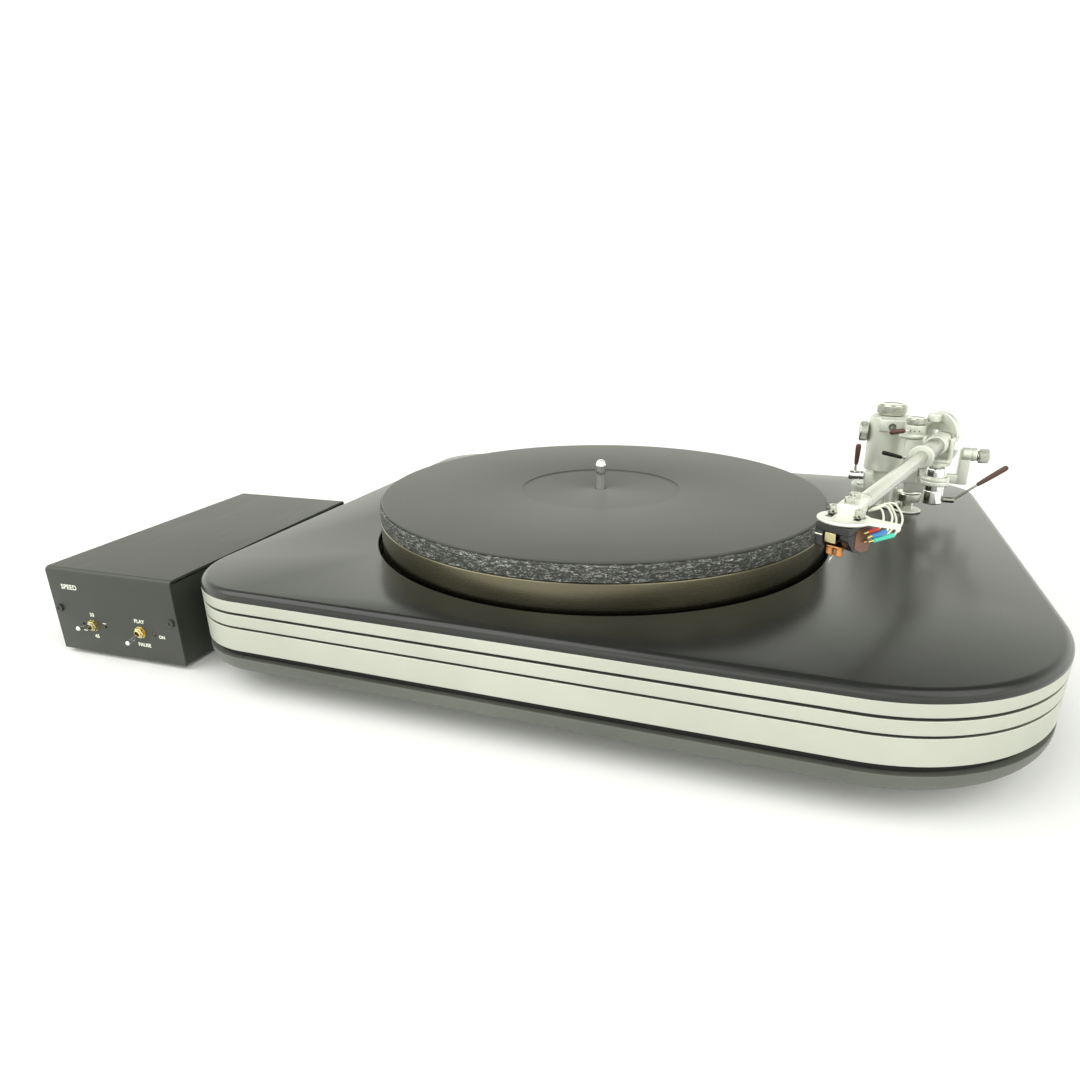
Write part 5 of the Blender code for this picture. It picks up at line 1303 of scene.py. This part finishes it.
def makeHeadshell():
    centre, roof = armSet["headCentre"], 0.5
    floor = -1.3
    shape = bmesh.new()
    disc = [(0, roof), (11.0, roof), (11.6, roof - 0.5), (11.6, floor + 0.5), (11.0, floor), (0, floor)]
    lathe(shape, softened(disc, 0.3), 128, turn=Matrix.Translation((0, centre, 0)))
    finger = [(8, centre + 5.4), (8, centre - 2.2), (22.6, centre - 0.9), (22.6, centre + 2.2)]
    slab(shape, softened(finger, 1.0, 5, closed=True), floor, roof, 0.3)
    brick(shape, (1.6, 3.4, 3.2), (22.3, centre + 0.7, -1.0), soft=0.5)
    brick(shape, (9.4, 18.2, 5.4 - floor), (0, -219.2, (5.4 + floor) / 2), soft=0.9)
    slots = []
    for x in (-5.9, 5.9):
        slot = bmesh.new()
        brick(slot, (3.0, 9.0, 6), (x, centre + 0.5, 0), soft=0)
        slots.append(slot)
    makePiece("headshellLook", shape, "ivory_plastic", "arm_wand", ["headshell"], armFrame, slots)
    washers = bmesh.new()
    places = ((-5.9, centre + 4.5), (5.9, centre + 2.0))
    for x, y in places:
        disc = [(0, 0.5), (2.5, 0.5), (2.7, 0.3), (2.7, 0), (0, 0)]
        lathe(washers, disc, 48, turn=Matrix.Translation((x, y, roof)))
        bar(washers, (x, y, -1.6), (x, y, 0.4), 1.2, steps=24)
    makePiece("headWashers", washers, "smoked", "arm_wand", place=armFrame)
    screws("headScrews", [(x, y, roof + 0.4) for x, y in places], "knobSteel", "arm_wand", armFrame,
           2.25, 3.2, 1.15, slot="steel")
    screws("blockCapScrews", [(-0.1, -225.2, 5.2), (-0.4, -214.6, 5.2)], "knobSteel", "arm_wand", armFrame,
           2.2, 2.9, 1.15,
           slot="steel")


coilSet = {"turns": 7, "radius": 1.35, "wire": 0.34, "step": 0.56}


def makeCartridge():
    shape = bmesh.new()
    brick(shape, (16, 19, 4), (0, 0.5, -2), soft=0.6)
    brick(shape, (4, 14, 8), (-6, -2, -7), soft=0.8)
    brick(shape, (15, 5, 12), (0, 7.5, -6.5), soft=0.6)
    brick(shape, (9, 7, 4), (0, -1, -5), soft=0.5)
    wing = [(-8.0, -1.0), (10.0, -1.0), (10.0, -14.0), (4.0, -14.3), (-3.0, -11.5), (-8.0, -6.4)]
    wing = softened(wing, 1.0, 4, True)
    rings = loopsToShell(shape, [[(x, y, z) for y, z in wing] for x in (3.7, 7.7)])
    easeEdges(shape, ringEdges(shape, rings[0]) + ringEdges(shape, rings[1]), 0.35, 2)
    makePiece("cartridgeBodyLook", shape, "cartridge_black", "arm_wand", ["cartridge_body"], headFrame)
    panel = bmesh.new()
    outline = [(-2.4, -2.2), (9.4, -2.2), (9.4, -13.2), (4.2, -13.4), (-2.4, -10.7)]
    outline = softened(outline, 0.7, 4, True)
    loopsToShell(panel, [[(x, y, z) for y, z in outline] for x in (7.5, 8.0)])
    makePiece("cartridgePanel", panel, "panelWood", "arm_wand", place=headFrame)
    gold = bmesh.new()
    brick(gold, (5.4, 3.0, 4.8), (-0.6, -7.4, -6.2), soft=0.5)
    makePiece("cartridgeCore", gold, "paleBrass", "arm_wand", place=headFrame)
    line = bmesh.new()
    brick(line, (0.25, 11, 0.5), (-8.05, -2, -5.4), soft=0)
    brick(line, (3.4, 0.3, 0.5), (-6.0, -9.05, -5.4), soft=0)
    makePiece("cartridgeLine", line, "ink", "arm_wand", place=headFrame)
    coil = bmesh.new()
    wireSection = arcPoints((0, 0), coilSet["wire"], 0, 360, 10)[:-1]
    for x in (-2.2, 2.2):
        for i in range(coilSet["turns"]):
            ring = [(coilSet["radius"] + x, y) for x, y in wireSection]
            lathe(coil, ring, 32, closed=True,
                  turn=Matrix.Translation((x, -4.2, -10.9 - coilSet["step"] * i)))
        bar(coil, (x, -4.2, -15.0), (x, -4.2, -10.4), 1.4, steps=24)
    brick(coil, (6.2, 4.6, 1.0), (0, -4.2, -10.6), soft=0.3)
    brick(coil, (3, 7, 3), (0, 1.1, -11.5), soft=0.4)
    makePiece("coilBlockLook", coil, "copper", "arm_wand", ["coil_block"], headFrame, sharp=50)
    needle = bmesh.new()
    bar(needle, (0, -4.4, -14.0), (0, -7.6, -16.4), 0.4, 0.26, steps=20, soft=0.05)
    bar(needle, (0, -7.6, -16.2), (0, -8.0, -17.6), 0.24, 0.05, steps=12, soft=0)
    makePiece("stylusLook", needle, "steel", "arm_wand", place=headFrame)


def sweptWire(shape, points, radius, steps=14, each=12):
    # a smooth wire through the given points
    stops = [Vector(p) for p in points]
    path = []
    for i in range(len(stops) - 1):
        before, here = stops[max(i - 1, 0)], stops[i]
        there, after = stops[i + 1], stops[min(i + 2, len(stops) - 1)]
        bend, twist = 2 * before - 5 * here + 4 * there - after, 3 * here - before - 3 * there + after
        for j in range(each):
            t = j / each
            path.append(0.5 * (2 * here + (there - before) * t + bend * t * t + twist * t ** 3))
    path.append(stops[-1])
    loops, side = [], None
    for i, spot in enumerate(path):
        way = (path[min(i + 1, len(path) - 1)] - path[max(i - 1, 0)]).normalized()
        side = way.orthogonal() if side is None else side - way * side.dot(way)
        side = side.normalized()
        up = way.cross(side)
        loops.append([spot + side * radius * math.cos(a) + up * radius * math.sin(a)
                      for a in (2 * math.pi * k / steps for k in range(steps))])
    loopsToShell(shape, loops)


leads = {
    "red": {"pin": (10.6, -229.6, -5.0), "sleeve": (13.4, -223.6, -4.6),
            "loop": [(13.4, -217.0, -1.8), (10.2, -208.6, 0.6)]},
    "blue": {"pin": (12.4, -230.6, -6.2), "sleeve": (16.2, -221.6, -5.8),
             "loop": [(16.0, -212.0, -1.8), (11.0, -202.4, 0.8)]},
    "green": {"pin": (13.0, -229.6, -8.4), "sleeve": (18.8, -217.2, -8.0),
              "loop": [(19.4, -206.6, -4.6), (16.6, -198.6, -1.6), (11.6, -192.8, 0.4)]},
    "white": {"pin": (10.8, -227.6, -9.4), "sleeve": (15.6, -218.6, -8.8),
              "loop": [(17.2, -208.4, -4.8), (14.4, -202.2, -1.2), (10.6, -197.2, 0.8)]},
}


def makeLeads():
    for number, (colour, lead) in enumerate(leads.items()):
        pin, end = Vector(lead["pin"]), Vector(lead["sleeve"])
        way = (end - pin).normalized()
        wire = bmesh.new()
        tubeSide = Vector((arm["tube"] + 0.4, -207.5 + 2.4 * number, -1.4))
        stops = [end - way * 2.0, end, *lead["loop"], tubeSide + Vector((2.4, 0, 0.9)), tubeSide]
        sweptWire(wire, stops, 0.48)
        makePiece(colour + "Wire", wire, "wire", "arm_wand", place=armFrame, sharp=60)
        sleeve = bmesh.new()
        long = (end - pin).length
        outline = [(0, 0), (0.8, 0), (1.05, 0.3), (1.05, long - 0.8), (0.75, long), (0, long)]
        lathe(sleeve, softened(outline, 0.2), 28, turn=towards(pin, end))
        makePiece(colour + "Sleeve", sleeve, "lead_" + colour, "arm_wand", ["lead_" + colour], armFrame)
        post = bmesh.new()
        bar(post, pin - way * 3.4, pin, 0.6, steps=16, soft=0.1)
        makePiece(colour + "Pin", post, "gold", "arm_wand", place=armFrame)


makeArm()
makeHeadshell()
makeCartridge()
makeLeads()
print("moving arm done")


# floor and light

studio = {"floor": 12.0, "horizon": 1.6, "zenith": 0.20, "fade": (0.30, 0.64), "soften": 50.0,
          "lights": (((-1.4, -0.7, 2.2), 1.5), ((1.5, -0.6, 2.0), 1.1), ((0.0, -1.7, 1.4), 0.6))}


def makeStudio(values):
    size = values["floor"]
    mesh = bpy.data.meshes.new("floor")
    corners = [(-size, -size, 0), (size, -size, 0), (size, size, 0), (-size, size, 0)]
    mesh.from_pydata(corners, [], [(0, 1, 2, 3)])
    floor = bpy.data.objects.new("floor", mesh)
    bpy.context.scene.collection.objects.link(floor)
    paint = bpy.data.materials.new("paleFloor")
    paint.use_nodes = True
    shader = paint.node_tree.nodes["Principled BSDF"]
    shader.inputs["Base Color"].default_value = (0.93, 0.93, 0.92, 1.0)
    shader.inputs["Roughness"].default_value = 0.85
    mesh.materials.append(paint)

    world = bpy.data.worlds.new("studio")
    bpy.context.scene.world = world
    world.use_nodes = True
    tree = world.node_tree
    sky = tree.nodes["Background"]
    place = tree.nodes.new("ShaderNodeTexCoord")
    split = tree.nodes.new("ShaderNodeSeparateXYZ")
    fade = tree.nodes.new("ShaderNodeMapRange")
    tree.links.new(place.outputs["Generated"], split.inputs[0])
    tree.links.new(split.outputs["Z"], fade.inputs["Value"])
    fade.inputs["From Min"].default_value, fade.inputs["From Max"].default_value = values["fade"]
    fade.inputs["To Min"].default_value = values["horizon"]
    fade.inputs["To Max"].default_value = values["zenith"]
    tree.links.new(fade.outputs["Result"], sky.inputs["Strength"])
    sky.inputs["Color"].default_value = (0.975, 1.0, 0.90, 1.0)

    for number, (spot, power) in enumerate(values["lights"]):
        data = bpy.data.lights.new(f"softLight{number + 1}", "SUN")
        data.angle = math.radians(values["soften"])
        data.energy = power
        lamp = bpy.data.objects.new(data.name, data)
        bpy.context.scene.collection.objects.link(lamp)
        lamp.matrix_world = towards(spot, (0, 0, 0.05)) @ Matrix.Rotation(math.pi, 4, "X")


makeStudio(studio)
bpy.context.scene.view_settings.view_transform = "Standard"
print("studio done")
